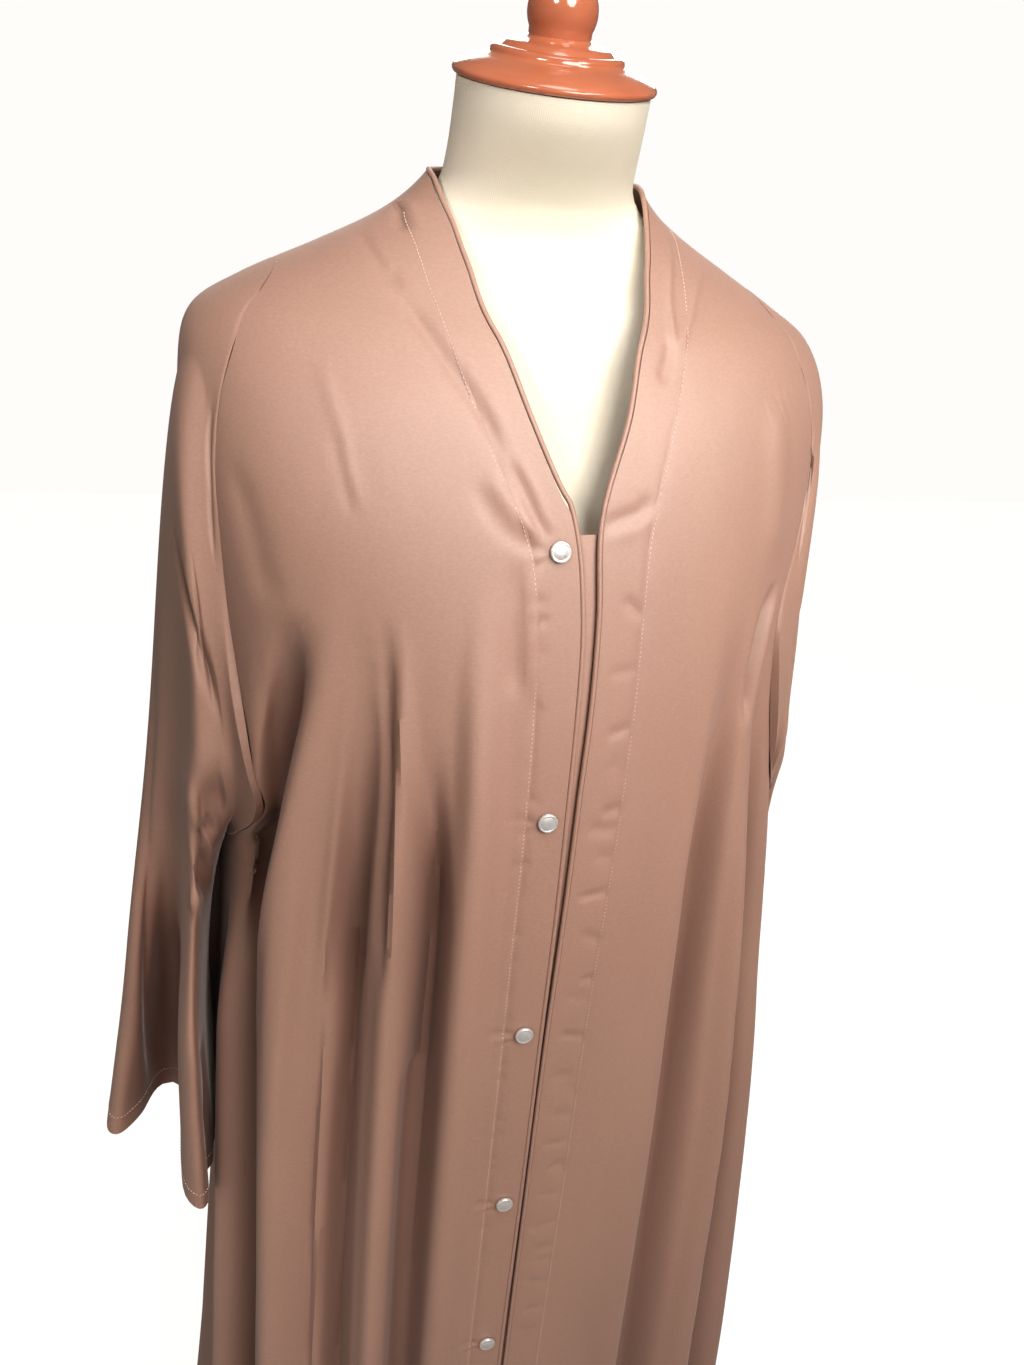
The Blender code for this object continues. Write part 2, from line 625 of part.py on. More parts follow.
def loop_angles(side):
    """Angle round the sleeve for each place of the armhole loop, by share of the way down."""
    places = armhole_loop(side)
    points = np.array([body_point(*place) for place in places])
    steps = np.linalg.norm(np.diff(points, axis=0), axis=1)
    run = np.concatenate([[0], np.cumsum(steps)])
    half = run[UNDERARM_ROW]
    closing = run[-1] + np.linalg.norm(points[0] - points[-1])
    return [180 * r / half if r <= half else 180 + 180 * (r - half) / (closing - half) for r in run]


def cuff_outline(turn, side):
    """(out, y) of the cuff at this angle round it."""
    table = CUFF_LEFT if side > 0 else CUFF_RIGHT
    turns = [row[0] for row in table]
    closed = [table[-2], table[-1]] + list(table) + [table[0], table[1]]
    places = [turns[-2] - 360, turns[-1] - 360] + turns + [360 + turns[0], 360 + turns[1]]
    position = np.interp(turn, places, np.arange(len(places)))
    return hermite([row[1:] for row in closed], position)


def sleeve_guide(turn, share, side):
    """The sleeve's hanging loop: four quarter points above, turning into the cuff's own outline."""
    table = SLEEVE_LEFT if side > 0 else SLEEVE_RIGHT
    row = dict(zip(SLEEVE_COLUMNS, hermite(table, share * (len(table) - 1))))
    cosine, sine = math.cos(math.radians(turn)), math.sin(math.radians(turn))

    def around(outer, front, under, back):
        across, along = (outer + under) / 2, (front + back) / 2
        plain = (across + along) / 2 + (outer - under) / 2 * cosine + (front - back) / 2 * sine
        return plain + (across - along) / 2 * math.cos(math.radians(2 * turn))

    def plan(row):
        middle_y = (row["front_y"] + row["back_y"]) / 2
        x = around(row["outer"], row["front"], row["under"], row["back"])
        return np.array((x, around(middle_y, row["front_y"], middle_y, row["back_y"])))

    z = around(row["outer_z"], row["front_z"], row["under_z"], row["back_z"])
    settled = ease((share - CUFF_FROM) / (1 - CUFF_FROM))
    change = cuff_outline(turn, side) - plan(dict(zip(SLEEVE_COLUMNS, table[-1])))
    x, y = plan(row) + change * settled
    return np.array((side * x, y, z))


def sleeve_fold(turn, share, side):
    total = 0.0
    for start, full, top, low, depth, width in SLEEVE_FOLDS_LEFT if side > 0 else SLEEVE_FOLDS_RIGHT:
        grown = ease((share - start) / (full - start))
        away = abs((turn - (top + (low - top) * grown) + 180) % 360 - 180) / width
        if away < 1:
            total += depth * grown * 0.5 * (1 + math.cos(math.pi * away))
    return total


def loop_normals(points, side):
    """Outward unit normals of a tube of loops."""
    around = np.roll(points, -1, axis=1) - np.roll(points, 1, axis=1)
    normals = np.cross(around, np.gradient(points, axis=0)) * side
    return normals / np.linalg.norm(normals, axis=2, keepdims=True)


def build_sleeve(side, cloth):
    places = armhole_loop(side)
    turns = loop_angles(side)
    count = len(places)
    edge = np.array([body_point(*place) for place in places])
    edge_normals = np.array([body_normal(*place) for place in places])
    along_edge = np.roll(edge, -1, axis=0) - np.roll(edge, 1, axis=0)
    into_hole = np.cross(along_edge, edge_normals) * -side
    into_hole /= np.linalg.norm(into_hole, axis=1, keepdims=True)
    turned = np.array([math.pi * ease((1 - abs(turn - 180) / 115) * 1.15) for turn in turns])[:, None]
    start = edge + into_hole * SEAM_GAP * 0.75 + edge_normals * SEAM_GAP * (1 - np.cos(turned)) / 2
    start_normals = edge_normals * np.cos(turned) - into_hole * np.sin(turned)
    plain_start = np.array([sleeve_guide(turn, 0, side) for turn in turns])
    rows = [start]
    for j in range(1, SLEEVE_ROWS + 1):
        share = j / SLEEVE_ROWS
        lasting = [max(0.0, -math.cos(math.radians(turn))) * UNDERARM_FADE[side] for turn in turns]
        fade = np.array([[1 - ease(share / (ARMHOLE_FADE + longer))] for longer in lasting])
        plain = np.array([sleeve_guide(turn, share, side) for turn in turns])
        rows.append(plain + (start - plain_start) * fade)
    points = np.array(rows)
    shares = [j / SLEEVE_ROWS for j in range(SLEEVE_ROWS + 1)]
    folds = np.array([[sleeve_fold(turn, share, side) for turn in turns] for share in shares])
    points = points + loop_normals(points, side) * folds[:, :, None]
    for j in range(1, SLEEVE_ROWS + 1):
        grown = ease(shares[j] / 0.2)
        for i in range(count):
            x, y, z = points[j, i]
            outer_turn = turns[i] * FRONT_EDGE_TURN if turns[i] < 180 else turns[i]
            outside = math.sqrt(max(0.0, math.cos(math.radians(outer_turn))))
            full = SLEEVE_FULLNESS * outside * ease((FULL_BELOW - z) / 0.12)
            room = SEAM_GAP + SLEEVE_CLEARANCE * grown + full
            need = body_reach(x, y, z) + room
            if math.hypot(x, y) < need:
                points[j, i, :2] *= need / math.hypot(x, y)
    if side > 0:
        softer = (np.roll(points, 1, axis=1) + np.roll(points, -1, axis=1)) / 2
        rounded = [EDGE_ROUNDED_FROM < turn < EDGE_ROUNDED_TO for turn in turns]
        points[1:, rounded] = (points[1:, rounded] + softer[1:, rounded]) / 2
    normals = loop_normals(points, side)
    normals[0] = start_normals
    inner = points - normals * CLOTH
    faces = []
    for j in range(SLEEVE_ROWS):
        for i in range(count):
            n = (i + 1) % count
            face = [j * count + i, j * count + n, (j + 1) * count + n, (j + 1) * count + i]
            faces.append(face if side > 0 else face[::-1])
    name = "sleeve_left" if side > 0 else "sleeve_right"
    return wall(name, points.reshape(-1, 3), inner.reshape(-1, 3), faces, cloth)


# ---------------------------------------------------------------- bands, piping, underlap
BAND_INSET = 2 * PIPING_RADIUS + SEAM_GAP


def band_spots(side):
    rows = []
    for row in range(len(ROWS)):
        (seam, seam_level) = front_seam(row, side)
        (edge, edge_level) = front_opening(row, side, BAND_INSET)
        rows.append(
            [(seam + (edge - seam) * w, seam_level + (edge_level - seam_level) * w) for w in (0, 0.5, 1)]
        )
    return rows


def build_band(side, cloth):
    outer, inner = surface_grid(band_spots(side), BAND_CLOTH, ("first_row", "first_column"))
    rows, columns = outer.shape[:2]
    name = "band_left" if side > 0 else "band_right"
    faces = grid_faces(rows, columns, flip=side < 0)
    return wall(name, outer.reshape(-1, 3), inner.reshape(-1, 3), faces, cloth)


NECK_COLUMNS = 2 * BACK_NECK_ROW


def neck_angles():
    """Angles round the back of the neck. They include the back's own neck seam points."""
    return [90 + 180 * k / NECK_COLUMNS for k in range(NECK_COLUMNS + 1)]


def build_neck_band(cloth):
    low, high = level_of(NECK_SEAM_HEIGHT), front_opening(0, 1, BAND_INSET)[1]
    spots = [
        [(angle, low + (high - low) * w) for w in (0, 0.5, 1)]
        for angle in neck_angles()
    ]
    outer, inner = surface_grid(spots, BAND_CLOTH, ("first_row", "last_row", "first_column"))
    rows, columns = outer.shape[:2]
    faces = grid_faces(rows, columns, flip=True)
    return wall("band_neck", outer.reshape(-1, 3), inner.reshape(-1, 3), faces, cloth)


def tube(name, route, radius, sides, material):
    """A closed round cord along a route of points."""
    route = np.asarray(route)
    tangents = np.gradient(route, axis=0)
    tangents /= np.linalg.norm(tangents, axis=1, keepdims=True)
    points, faces = [], []
    reference = np.array((0.0, 1.0, 0.0))
    for centre, tangent in zip(route, tangents):
        reference = reference - tangent * (reference @ tangent)
        reference /= np.linalg.norm(reference)
        second = np.cross(tangent, reference)
        for k in range(sides):
            turn = 2 * math.pi * k / sides
            points.append(centre + radius * (math.cos(turn) * reference + math.sin(turn) * second))
    for j in range(len(route) - 1):
        for k in range(sides):
            n = (k + 1) % sides
            faces.append((j * sides + k, j * sides + n, (j + 1) * sides + n, (j + 1) * sides + k))
    last = (len(route) - 1) * sides
    faces.append(tuple(range(sides))[::-1])
    faces.append(tuple(last + k for k in range(sides)))
    return new_object(name, points, faces, material, smooth_angle=80)


def piping_route(places):
    """The cord's centre line, half sunk so that it is flush with the band's outer face."""
    return [body_point(*place) - body_normal(*place) * PIPING_RADIUS for place in places]


def build_piping(cloth):
    """One cord: up the right front's edge, round the back of the neck and down the left front's edge."""
    down = range(1, len(ROWS))
    level = front_opening(0, 1, PIPING_RADIUS)[1]
    places = [front_opening(row, -1, PIPING_RADIUS) for row in reversed(down)]
    places += [(angle, level) for angle in reversed(neck_angles())]
    places += [front_opening(row, 1, PIPING_RADIUS) for row in down]
    tube("piping", piping_route(places), PIPING_RADIUS, 6, cloth)


def closure_x(height):
    right = table_value(OPENING, OPENING_COLUMNS, "right", height)
    left = table_value(OPENING, OPENING_COLUMNS, "left", height)
    return (right + left) / 2


def build_underlap(cloth):
    """The strip behind the two front edges, from just under the V to the hem."""
    heights = [UNDERLAP_TOP] + [row[2] for row in ROWS if row[2] < UNDERLAP_TOP - 0.02]
    spots = []
    for height in heights:
        middle = closure_x(height)
        spots.append(
            [spot(middle + offset * UNDERLAP_HALF_WIDTH, height) for offset in (-1, -0.33, 0.33, 1)]
        )
    sink = max(BAND_CLOTH, 2 * PIPING_RADIUS) + SEAM_GAP
    outer, inner = surface_grid(spots, CLOTH, (), sink=sink)
    rows, columns = outer.shape[:2]
    faces = grid_faces(rows, columns, flip=True)
    return wall("underlap", outer.reshape(-1, 3), inner.reshape(-1, 3), faces, cloth)


# ---------------------------------------------------------------- turned pieces
def lathe(name, profile, sides, material, smooth_angle=35):
    """A solid turned about Z from (radius, height) points that start and end on the axis."""
    points, faces = [], []
    rings = []
    for radius, height in profile:
        if radius < 1e-6:
            rings.append([len(points)])
            points.append((0, 0, height))
        else:
            first = len(points)
            rings.append([first + k for k in range(sides)])
            for k in range(sides):
                turn = 2 * math.pi * k / sides
                points.append((radius * math.cos(turn), radius * math.sin(turn), height))
    for low, high in zip(rings, rings[1:]):
        for k in range(sides):
            n = (k + 1) % sides
            if len(low) == 1:
                faces.append((low[0], high[n], high[k]))
            elif len(high) == 1:
                faces.append((low[k], low[n], high[0]))
            else:
                faces.append((low[k], low[n], high[n], high[k]))
    return new_object(name, points, faces, material, smooth_angle)


SNAP_PROFILE = (  # radius and height as shares of the snap's radius
    (0.0, 0.0), (0.97, 0.0), (1.0, 0.22), (0.88, 0.36), (0.74, 0.31), (0.0, 0.43),
)


def build_snaps(metal):
    """Dome caps, fastened, down the middle of the right front band."""
    for number in range(SNAP_COUNT):
        height = SNAP_TOP_HEIGHT - SNAP_SPACING * number
        x = table_value(OPENING, OPENING_COLUMNS, "right", height) - SNAP_INSET
        place = spot(x, height)
        normal = Vector(body_normal(*place))
        origin = Vector(body_point(*place)) + normal * SEAM_GAP
        profile = [(r * SNAP_RADIUS, h * SNAP_RADIUS) for r, h in SNAP_PROFILE]
        cap = lathe(f"snap_{number + 1}", profile, 12, metal)
        cap.matrix_world = Matrix.Translation(origin) @ normal.to_track_quat("Z", "Y").to_matrix().to_4x4()


# ---------------------------------------------------------------- dress form and stand
FORM_COLUMNS = ("height", "middle_y", "half", "front", "back", "square")
FORM_LOWER = (
    (0.765, 0.000, 0.120, 0.070, 0.078, 2.1),
    (0.770, 0.000, 0.148, 0.088, 0.100, 2.1),
    (0.800, 0.000, 0.164, 0.098, 0.118, 2.1),
    (0.870, 0.000, 0.172, 0.104, 0.122, 2.1),
    (0.950, 0.000, 0.158, 0.104, 0.112, 2.1),
    (1.040, 0.000, 0.126, 0.099, 0.088, 2.1),
    (1.120, 0.000, 0.130, 0.108, 0.086, 2.1),
    (1.200, 0.000, 0.150, 0.130, 0.095, 2.2),
    (1.255, 0.000, 0.161, 0.128, 0.100, 2.3),
    (1.310, 0.000, 0.173, 0.112, 0.102, 2.3),
    (1.355, 0.000, 0.178, 0.094, 0.096, 2.2),
    (1.382, 0.000, 0.171, 0.082, 0.089, 2.1),
    (1.400, 0.000, 0.160, 0.074, 0.083, 2.0),
    (1.415, 0.000, 0.147, 0.067, 0.077, 2.0),
)
# Heights of the cloth's shoulder line that the form carries, and how far the form lies under them.
SHOULDER_HEIGHTS = (1.430, 1.440, 1.448, 1.456)
SHOULDER_DROP = CLOTH + 0.6 * MM
SHOULDER_FRONT_SHARE, SHOULDER_BACK_SHARE = 0.70, 0.78
FORM_NECK = (
    (1.4640, 0.000, 0.0730, 0.0410, 0.0590, 2.0),
    (1.4710, -0.001, 0.0650, 0.0420, 0.0580, 2.0),
    (1.4810, -0.004, 0.0585, 0.0460, 0.0560, 2.0),
    (1.4970, -0.0115, 0.0563, 0.0510, 0.0560, 2.0),
    (1.5180, -0.0190, 0.0553, 0.0553, 0.0553, 2.0),
    (1.5330, -0.0235, 0.0550, 0.0550, 0.0550, 2.0),
)
NECK_TILT = math.radians(9.0)  # the neck's top and the cap lean forward
CAP_CENTRE = (0.0, -0.0235, 1.5330)
FORM_SIDES = 20


def shoulder_sections():
    """The form's sections under the cloth's shoulder line, the same on both sides."""
    rows = []
    for height in SHOULDER_HEIGHTS:
        cut = section(level_of(height))
        half = min(cut["half_left"], cut["half_right"])
        front, back = cut["front"] * SHOULDER_FRONT_SHARE, cut["back"] * SHOULDER_BACK_SHARE
        rows.append((height - 0.9 * SHOULDER_DROP, 0.0, half - 0.42 * SHOULDER_DROP, front, back, 2.0))
    return rows


def build_form(linen):
    table = list(FORM_LOWER) + shoulder_sections() + list(FORM_NECK)
    levels = []
    for k in range(len(table) - 1):
        gap = table[k + 1][0] - table[k][0]
        levels += [k, k + 0.5] if gap > 0.045 else [k]
    levels.append(len(table) - 1)
    points = []
    for level in levels:
        cut = section(level, table, FORM_COLUMNS)
        lean = math.tan(NECK_TILT) * ease((cut["height"] - 1.485) / 0.045)
        for k in range(FORM_SIDES):
            turn = 2 * math.pi * k / FORM_SIDES
            sine, cosine = math.sin(turn), math.cos(turn)
            deep = cut["front"] if cosine >= 0 else cut["back"]
            x = math.copysign(cut["half"] * abs(sine) ** (2 / cut["square"]), sine)
            y = -math.copysign(deep * abs(cosine) ** (2 / cut["square"]), cosine)
            points.append((x, cut["middle_y"] + y, cut["height"] + lean * y))
    faces = []
    for j in range(len(levels) - 1):
        for k in range(FORM_SIDES):
            n = (k + 1) % FORM_SIDES
            low, high = j * FORM_SIDES, (j + 1) * FORM_SIDES
            faces.append((low + k, low + n, high + n, high + k))
    last = (len(levels) - 1) * FORM_SIDES
    faces.append(tuple(range(FORM_SIDES))[::-1])
    faces.append(tuple(last + k for k in range(FORM_SIDES)))
    return new_object("form_body", points, faces, linen, smooth_angle=50)


BALL_RADIUS, BALL_HEIGHT = 0.0196, 0.0345
CAP_PROFILE_LOW = (
    (0.0, 0.0), (0.0555, 0.0), (0.0578, 0.0016), (0.0575, 0.0036), (0.0545, 0.0060), (0.0380, 0.0125),
    (0.0372, 0.0150), (0.0345, 0.0166), (0.0325, 0.0160), (0.0300, 0.0185), (0.0240, 0.0200),
    (0.0175, 0.0225),
)


def build_cap(lacquer):
    profile = list(CAP_PROFILE_LOW)
    for degrees in (-26, -5, 18, 42, 66):
        turn = math.radians(degrees)
        profile.append((BALL_RADIUS * math.cos(turn), BALL_HEIGHT + BALL_RADIUS * math.sin(turn)))
    profile.append((0.0, BALL_HEIGHT + BALL_RADIUS))
    cap = lathe("form_cap", profile, 24, lacquer, smooth_angle=50)
    up = Vector((0, -math.sin(NECK_TILT), math.cos(NECK_TILT))) * SEAM_GAP
    cap.matrix_world = Matrix.Translation(Vector(CAP_CENTRE) + up) @ Matrix.Rotation(NECK_TILT, 4, "X")
    return cap


BASE_RADIUS = 0.195
POLE_RADIUS = 0.016
BASE_PROFILE = (
    (0.0, 0.0), (BASE_RADIUS - 0.004, 0.0), (BASE_RADIUS, 0.004), (BASE_RADIUS, 0.013),
    (BASE_RADIUS - 0.007, 0.019), (0.060, 0.026), (0.030, 0.034), (0.026, 0.058), (0.0, 0.058),
)


def build_stand(lacquer, metal):
    lathe("stand_base", BASE_PROFILE, 32, lacquer)
    foot = BASE_PROFILE[-1][1] + SEAM_GAP
    head = FORM_LOWER[0][0] - SEAM_GAP
    lathe("stand_pole", ((0, foot), (POLE_RADIUS, foot), (POLE_RADIUS, head), (0, head)), 16, metal)


# ---------------------------------------------------------------- materials and assembly
def material(name, colour, roughness, metallic=0.0):
    made = bpy.data.materials.new(name)
    made.use_nodes = True
    shader = made.node_tree.nodes["Principled BSDF"]
    shader.inputs["Base Color"].default_value = (*colour, 1.0)
    shader.inputs["Roughness"].default_value = roughness
    shader.inputs["Metallic"].default_value = metallic
    return made


def main():
    for old in list(bpy.data.objects):
        bpy.data.objects.remove(old)
    cloth = material("satin", (0.48, 0.28, 0.21), 0.45)
    trim = material("piping", (0.36, 0.19, 0.14), 0.5)
    metal = material("snap_metal", (0.80, 0.78, 0.76), 0.22, 1.0)
    linen = material("form_linen", (0.82, 0.77, 0.64), 0.9)
    lacquer = material("form_lacquer", (0.52, 0.15, 0.07), 0.15)
    steel = material("pole_steel", (0.62, 0.62, 0.64), 0.3, 1.0)
    for side in (-1, 1):
        build_front(side, cloth)
        build_sleeve(side, cloth)
        build_band(side, cloth)
    build_back(cloth)
    build_neck_band(cloth)
    build_piping(trim)
    build_underlap(cloth)
    build_snaps(metal)
    build_form(linen)
    build_cap(lacquer)
    build_stand(lacquer, steel)


main()
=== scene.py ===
"""Looks of a satin abaya on a limbless dress form: fine cloth, seams, snaps, linen and lacquer.

Metres, +Z up. The garment faces -Y, so the wearer's right is -X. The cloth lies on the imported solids' own
surfaces, which are repeated here at a finer grid and then creased. A place on the body surface is an
angle round the body (0 at the centre front, -90 at the wearer's right, 180 at the centre back) and a
level, which is a real-valued row number in the SECTIONS table.
"""

import math

import bpy
import numpy as np
from mathutils import Matrix, Vector

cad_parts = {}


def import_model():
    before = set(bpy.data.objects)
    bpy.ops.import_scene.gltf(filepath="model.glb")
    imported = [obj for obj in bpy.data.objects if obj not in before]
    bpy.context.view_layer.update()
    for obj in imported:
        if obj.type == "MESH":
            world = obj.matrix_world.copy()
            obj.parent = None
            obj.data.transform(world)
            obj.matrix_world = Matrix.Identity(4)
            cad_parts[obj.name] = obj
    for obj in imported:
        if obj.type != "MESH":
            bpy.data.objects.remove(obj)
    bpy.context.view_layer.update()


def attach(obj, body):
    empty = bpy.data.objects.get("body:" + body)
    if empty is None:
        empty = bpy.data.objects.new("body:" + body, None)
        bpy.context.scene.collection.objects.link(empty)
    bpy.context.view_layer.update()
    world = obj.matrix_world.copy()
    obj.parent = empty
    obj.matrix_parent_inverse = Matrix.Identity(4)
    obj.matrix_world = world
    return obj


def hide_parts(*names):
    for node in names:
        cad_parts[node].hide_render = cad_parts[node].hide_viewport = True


MM = 0.001

# ---------------------------------------------------------------- driving dimensions
CLOTH = 1.6 * MM  # wall of the body and sleeve cloth
BAND_CLOTH = 2.0 * MM  # the front and neck bands are folded double
SEAM_GAP = 0.4 * MM  # between any two pieces
PIPING_RADIUS = 1.4 * MM
HEM_HEIGHT = 0.080
NECK_SEAM_HEIGHT = 1.4670  # where the neck band joins the back
UNDERLAP_TOP = 1.3090
UNDERLAP_HALF_WIDTH = 0.021
SNAP_TOP_HEIGHT = 1.3000
SNAP_SPACING = 0.1625
SNAP_COUNT = 6
SNAP_RADIUS = 6.2 * MM
SNAP_INSET = 0.0140  # from the right front's edge
FINE = 3.5 * MM  # grid size of the fronts
BACK_FINE = 6.0 * MM
BAND_FINE = 2.0 * MM  # grid size of the bands

# ---------------------------------------------------------------- body surface
# One row for each horizontal section of the worn cloth, hem to neck. Half widths are at the sides.
SECTION_COLUMNS = (
    "height", "half_right", "half_left", "front", "back", "square_right", "square_left", "square_back",
)
SECTIONS = (
    (0.080, 0.282, 0.328, 0.214, 0.250, 2.20, 2.15, 2.15),
    (0.280, 0.254, 0.300, 0.208, 0.222, 2.25, 2.15, 2.20),
    (0.480, 0.236, 0.280, 0.203, 0.194, 2.30, 2.20, 2.20),
    (0.660, 0.224, 0.260, 0.199, 0.172, 2.35, 2.20, 2.20),
    (0.820, 0.214, 0.238, 0.195, 0.153, 2.40, 2.25, 2.20),
    (0.960, 0.206, 0.216, 0.190, 0.139, 2.40, 2.25, 2.25),
    (1.070, 0.201, 0.206, 0.184, 0.129, 2.40, 2.25, 2.30),
    (1.160, 0.203, 0.204, 0.174, 0.123, 2.45, 2.20, 2.35),
    (1.240, 0.208, 0.206, 0.160, 0.121, 2.55, 2.20, 2.40),
    (1.310, 0.211, 0.206, 0.143, 0.118, 2.60, 2.20, 2.40),
    (1.365, 0.211, 0.204, 0.123, 0.112, 2.40, 2.15, 2.25),
    (1.400, 0.203, 0.190, 0.103, 0.104, 2.15, 2.05, 2.10),
    (1.420, 0.176, 0.162, 0.087, 0.097, 2.00, 2.00, 2.00),
    (1.440, 0.133, 0.126, 0.070, 0.088, 2.00, 2.00, 2.00),
    (1.456, 0.100, 0.097, 0.056, 0.078, 2.00, 2.00, 2.00),
    (1.470, 0.079, 0.077, 0.046, 0.069, 2.00, 2.00, 2.00),
    (1.486, 0.0640, 0.0640, 0.040, 0.061, 2.00, 2.00, 2.00),
    (1.500, 0.0600, 0.0600, 0.038, 0.058, 2.00, 2.00, 2.00),
)

# Hanging folds. Angles in degrees, depth outward in metres (negative is a trough) at full_height,
# half widths in degrees on the side towards smaller and larger angles, gain at the hem.
# Columns: start_height, full_height, angle_top, angle_low, depth, before, after, hem_gain.
FOLDS = (
    # wearer's right front
    (1.290, 1.120, -18.0, -15.5, 0.010, 5.5, 7.5, 1.3),
    (1.200, 1.060, -24.5, -22.0, -0.020, 4.5, 4.5, 1.3),
    (1.260, 1.080, -31.0, -29.0, 0.010, 4.5, 4.5, 1.5),
    (1.255, 0.990, -37.5, -38.0, -0.021, 4.0, 5.5, 1.3),
    (1.290, 1.020, -44.0, -50.0, 0.020, 7.5, 7.0, 1.2),
    (1.268, 1.000, -51.5, -59.5, -0.019, 5.0, 5.0, 1.3),
    (1.060, 0.900, -67.5, -67.5, 0.014, 6.5, 5.5, 1.3),
    # wearer's left front
    (0.900, 0.300, 22.0, 22.0, -0.006, 8.0, 8.0, 1.6),
    (1.275, 1.060, 42.5, 38.5, -0.022, 9.0, 5.5, 1.3),
    (1.220, 0.950, 47.0, 48.5, 0.012, 5.5, 5.0, 1.4),
    (1.250, 0.950, 50.5, 58.0, -0.022, 5.0, 5.0, 1.2),
    (1.250, 0.950, 57.0, 66.0, 0.015, 6.0, 8.0, 1.2),
    # sides and back
    (0.980, 0.500, -77.0, -76.0, -0.010, 7.0, 7.0, 1.8),
    (0.900, 0.450, -91.0, -90.0, 0.008, 8.0, 8.0, 2.0),
    (1.120, 0.600, -106.0, -105.0, -0.014, 8.0, 8.0, 1.5),
    (1.180, 0.600, -120.0, -121.0, 0.015, 8.0, 8.0, 1.6),
    (1.150, 0.600, -135.0, -136.0, -0.015, 7.5, 8.0, 1.5),
    (1.200, 0.600, -149.0, -151.0, 0.014, 8.0, 7.5, 1.6),
    (1.160, 0.600, -165.0, -166.0, -0.014, 8.0, 8.0, 1.5),
    (1.180, 0.600, 179.0, 179.0, 0.012, 8.0, 8.0, 1.7),
    (1.140, 0.600, 163.0, 164.0, -0.015, 8.0, 8.0, 1.5),
    (1.200, 0.600, 147.0, 149.0, 0.015, 8.5, 8.0, 1.5),
    (1.150, 0.600, 131.0, 132.0, -0.014, 8.0, 8.0, 1.6),
    (1.180, 0.600, 116.0, 117.0, 0.014, 8.0, 8.0, 1.6),
    (1.100, 0.600, 102.0, 102.0, -0.013, 7.5, 7.5, 1.6),
    (0.900, 0.450, 89.0, 89.0, 0.008, 7.5, 7.5, 2.0),
    (0.980, 0.500, 77.0, 77.5, -0.010, 6.5, 6.5, 1.8),
)

# Outer line of the front opening and of the V neck (x of the wearer's right and left front), neck to hem.
OPENING_COLUMNS = ("height", "right", "left")
OPENING = (
    (1.485, -0.0640, 0.0640),
    (1.465, -0.0572, 0.0605),
    (1.440, -0.0488, 0.0535),
    (1.410, -0.0375, 0.0450),
    (1.380, -0.0245, 0.0365),
    (1.350, -0.0105, 0.0275),
    (1.325, 0.0015, 0.0200),
    (1.308, 0.0080, 0.0170),
    (1.270, 0.0118, 0.0185),
    (1.220, 0.0120, 0.0175),
    (1.140, 0.0096, 0.0128),
    (0.970, 0.0062, 0.0070),
    (0.800, 0.0042, 0.0050),
    (0.640, 0.0020, 0.0040),
    (0.080, 0.0010, 0.0024),
)
# Line where each front band is sewn to its front (x), neck to hem.
BAND_SEAM_COLUMNS = ("height", "right", "left")
BAND_SEAM = (
    (1.467, -0.0820, 0.0820),
    (1.434, -0.0735, 0.0790),
    (1.397, -0.0610, 0.0710),
    (1.354, -0.0440, 0.0600),
    (1.320, -0.0290, 0.0520),
    (1.294, -0.0180, 0.0480),
    (1.270, -0.0155, 0.0470),
    (1.220, -0.0150, 0.0460),
    (1.145, -0.0165, 0.0425),
    (1.036, -0.0195, 0.0370),
    (0.960, -0.0205, 0.0350),
    (0.790, -0.0225, 0.0335),
    (0.640, -0.0240, 0.0320),
    (0.080, -0.0250, 0.0310),
)
# Armhole seam: distance from the middle (x), shoulder to underarm, for the wearer's right and left fronts
# and for the back on the right and on the left.
ARMHOLE_COLUMNS = ("height", "right", "left", "back_right", "back_left")
ARMHOLE = (
    (1.4300, 0.1540, 0.1430, 0.1490, 0.1400),
    (1.4050, 0.1725, 0.1600, 0.1640, 0.1560),
    (1.3800, 0.1835, 0.1710, 0.1730, 0.1680),
    (1.3500, 0.1900, 0.1785, 0.1790, 0.1760),
    (1.3200, 0.1920, 0.1785, 0.1810, 0.1800),
    (1.2800, 0.1905, 0.1700, 0.1810, 0.1810),
    (1.2450, 0.1885, 0.1600, 0.1805, 0.1805),
    (1.2150, 0.1855, 0.1600, 0.1800, 0.1800),
    (1.1550, 0.1785, 0.1690, 0.1800, 0.1800),
    (1.1100, 0.1760, 0.1780, 0.1830, 0.1830),
    (1.0820, 0.1800, 0.1860, 0.1880, 0.1880),
)

# Rows of the panels' grids, shoulder seam to hem: heights at the armhole or side seam, at the front band
# seam, at the front band's edge, and at the middle of the back. The last column is the share of the way
# round the underarm curve, 0 before it and 1 at the side seam.
# Columns: outer, seam, edge, back_middle, underarm.
ROWS = (
    (1.4300, 1.4670, 1.4850, 1.467, 0.0),
    (1.4265, 1.4622, 1.4802, 1.467, 0.0),
    (1.416, 1.448, 1.466, 1.467, 0.0),
    (1.394, 1.424, 1.443, 1.467, 0.0),
    (1.362, 1.392, 1.411, 1.467, 0.0),
    (1.325, 1.352, 1.370, 1.467, 0.0),
    (1.285, 1.308, 1.318, 1.467, 0.0),
    (1.240, 1.258, 1.260, 1.412, 0.0),
    (1.192, 1.204, 1.205, 1.340, 0.0),
    (1.145, 1.152, 1.152, 1.262, 0.0),
    (1.105, 1.108, 1.108, 1.186, 0.0),
    (1.076, 1.076, 1.076, 1.122, 0.25),
    (1.058, 1.052, 1.052, 1.075, 0.60),
    (1.050, 1.030, 1.030, 1.042, 1.0),
    (0.990, 0.985, 0.985, 0.990, 1.0),
    (0.925, 0.922, 0.922, 0.926, 1.0),
    *((height,) * 4 + (1.0,) for height in (0.850, 0.765, 0.670, 0.560, 0.440, 0.320, 0.200, 0.080)),
)
UNDERARM_ROW = 13
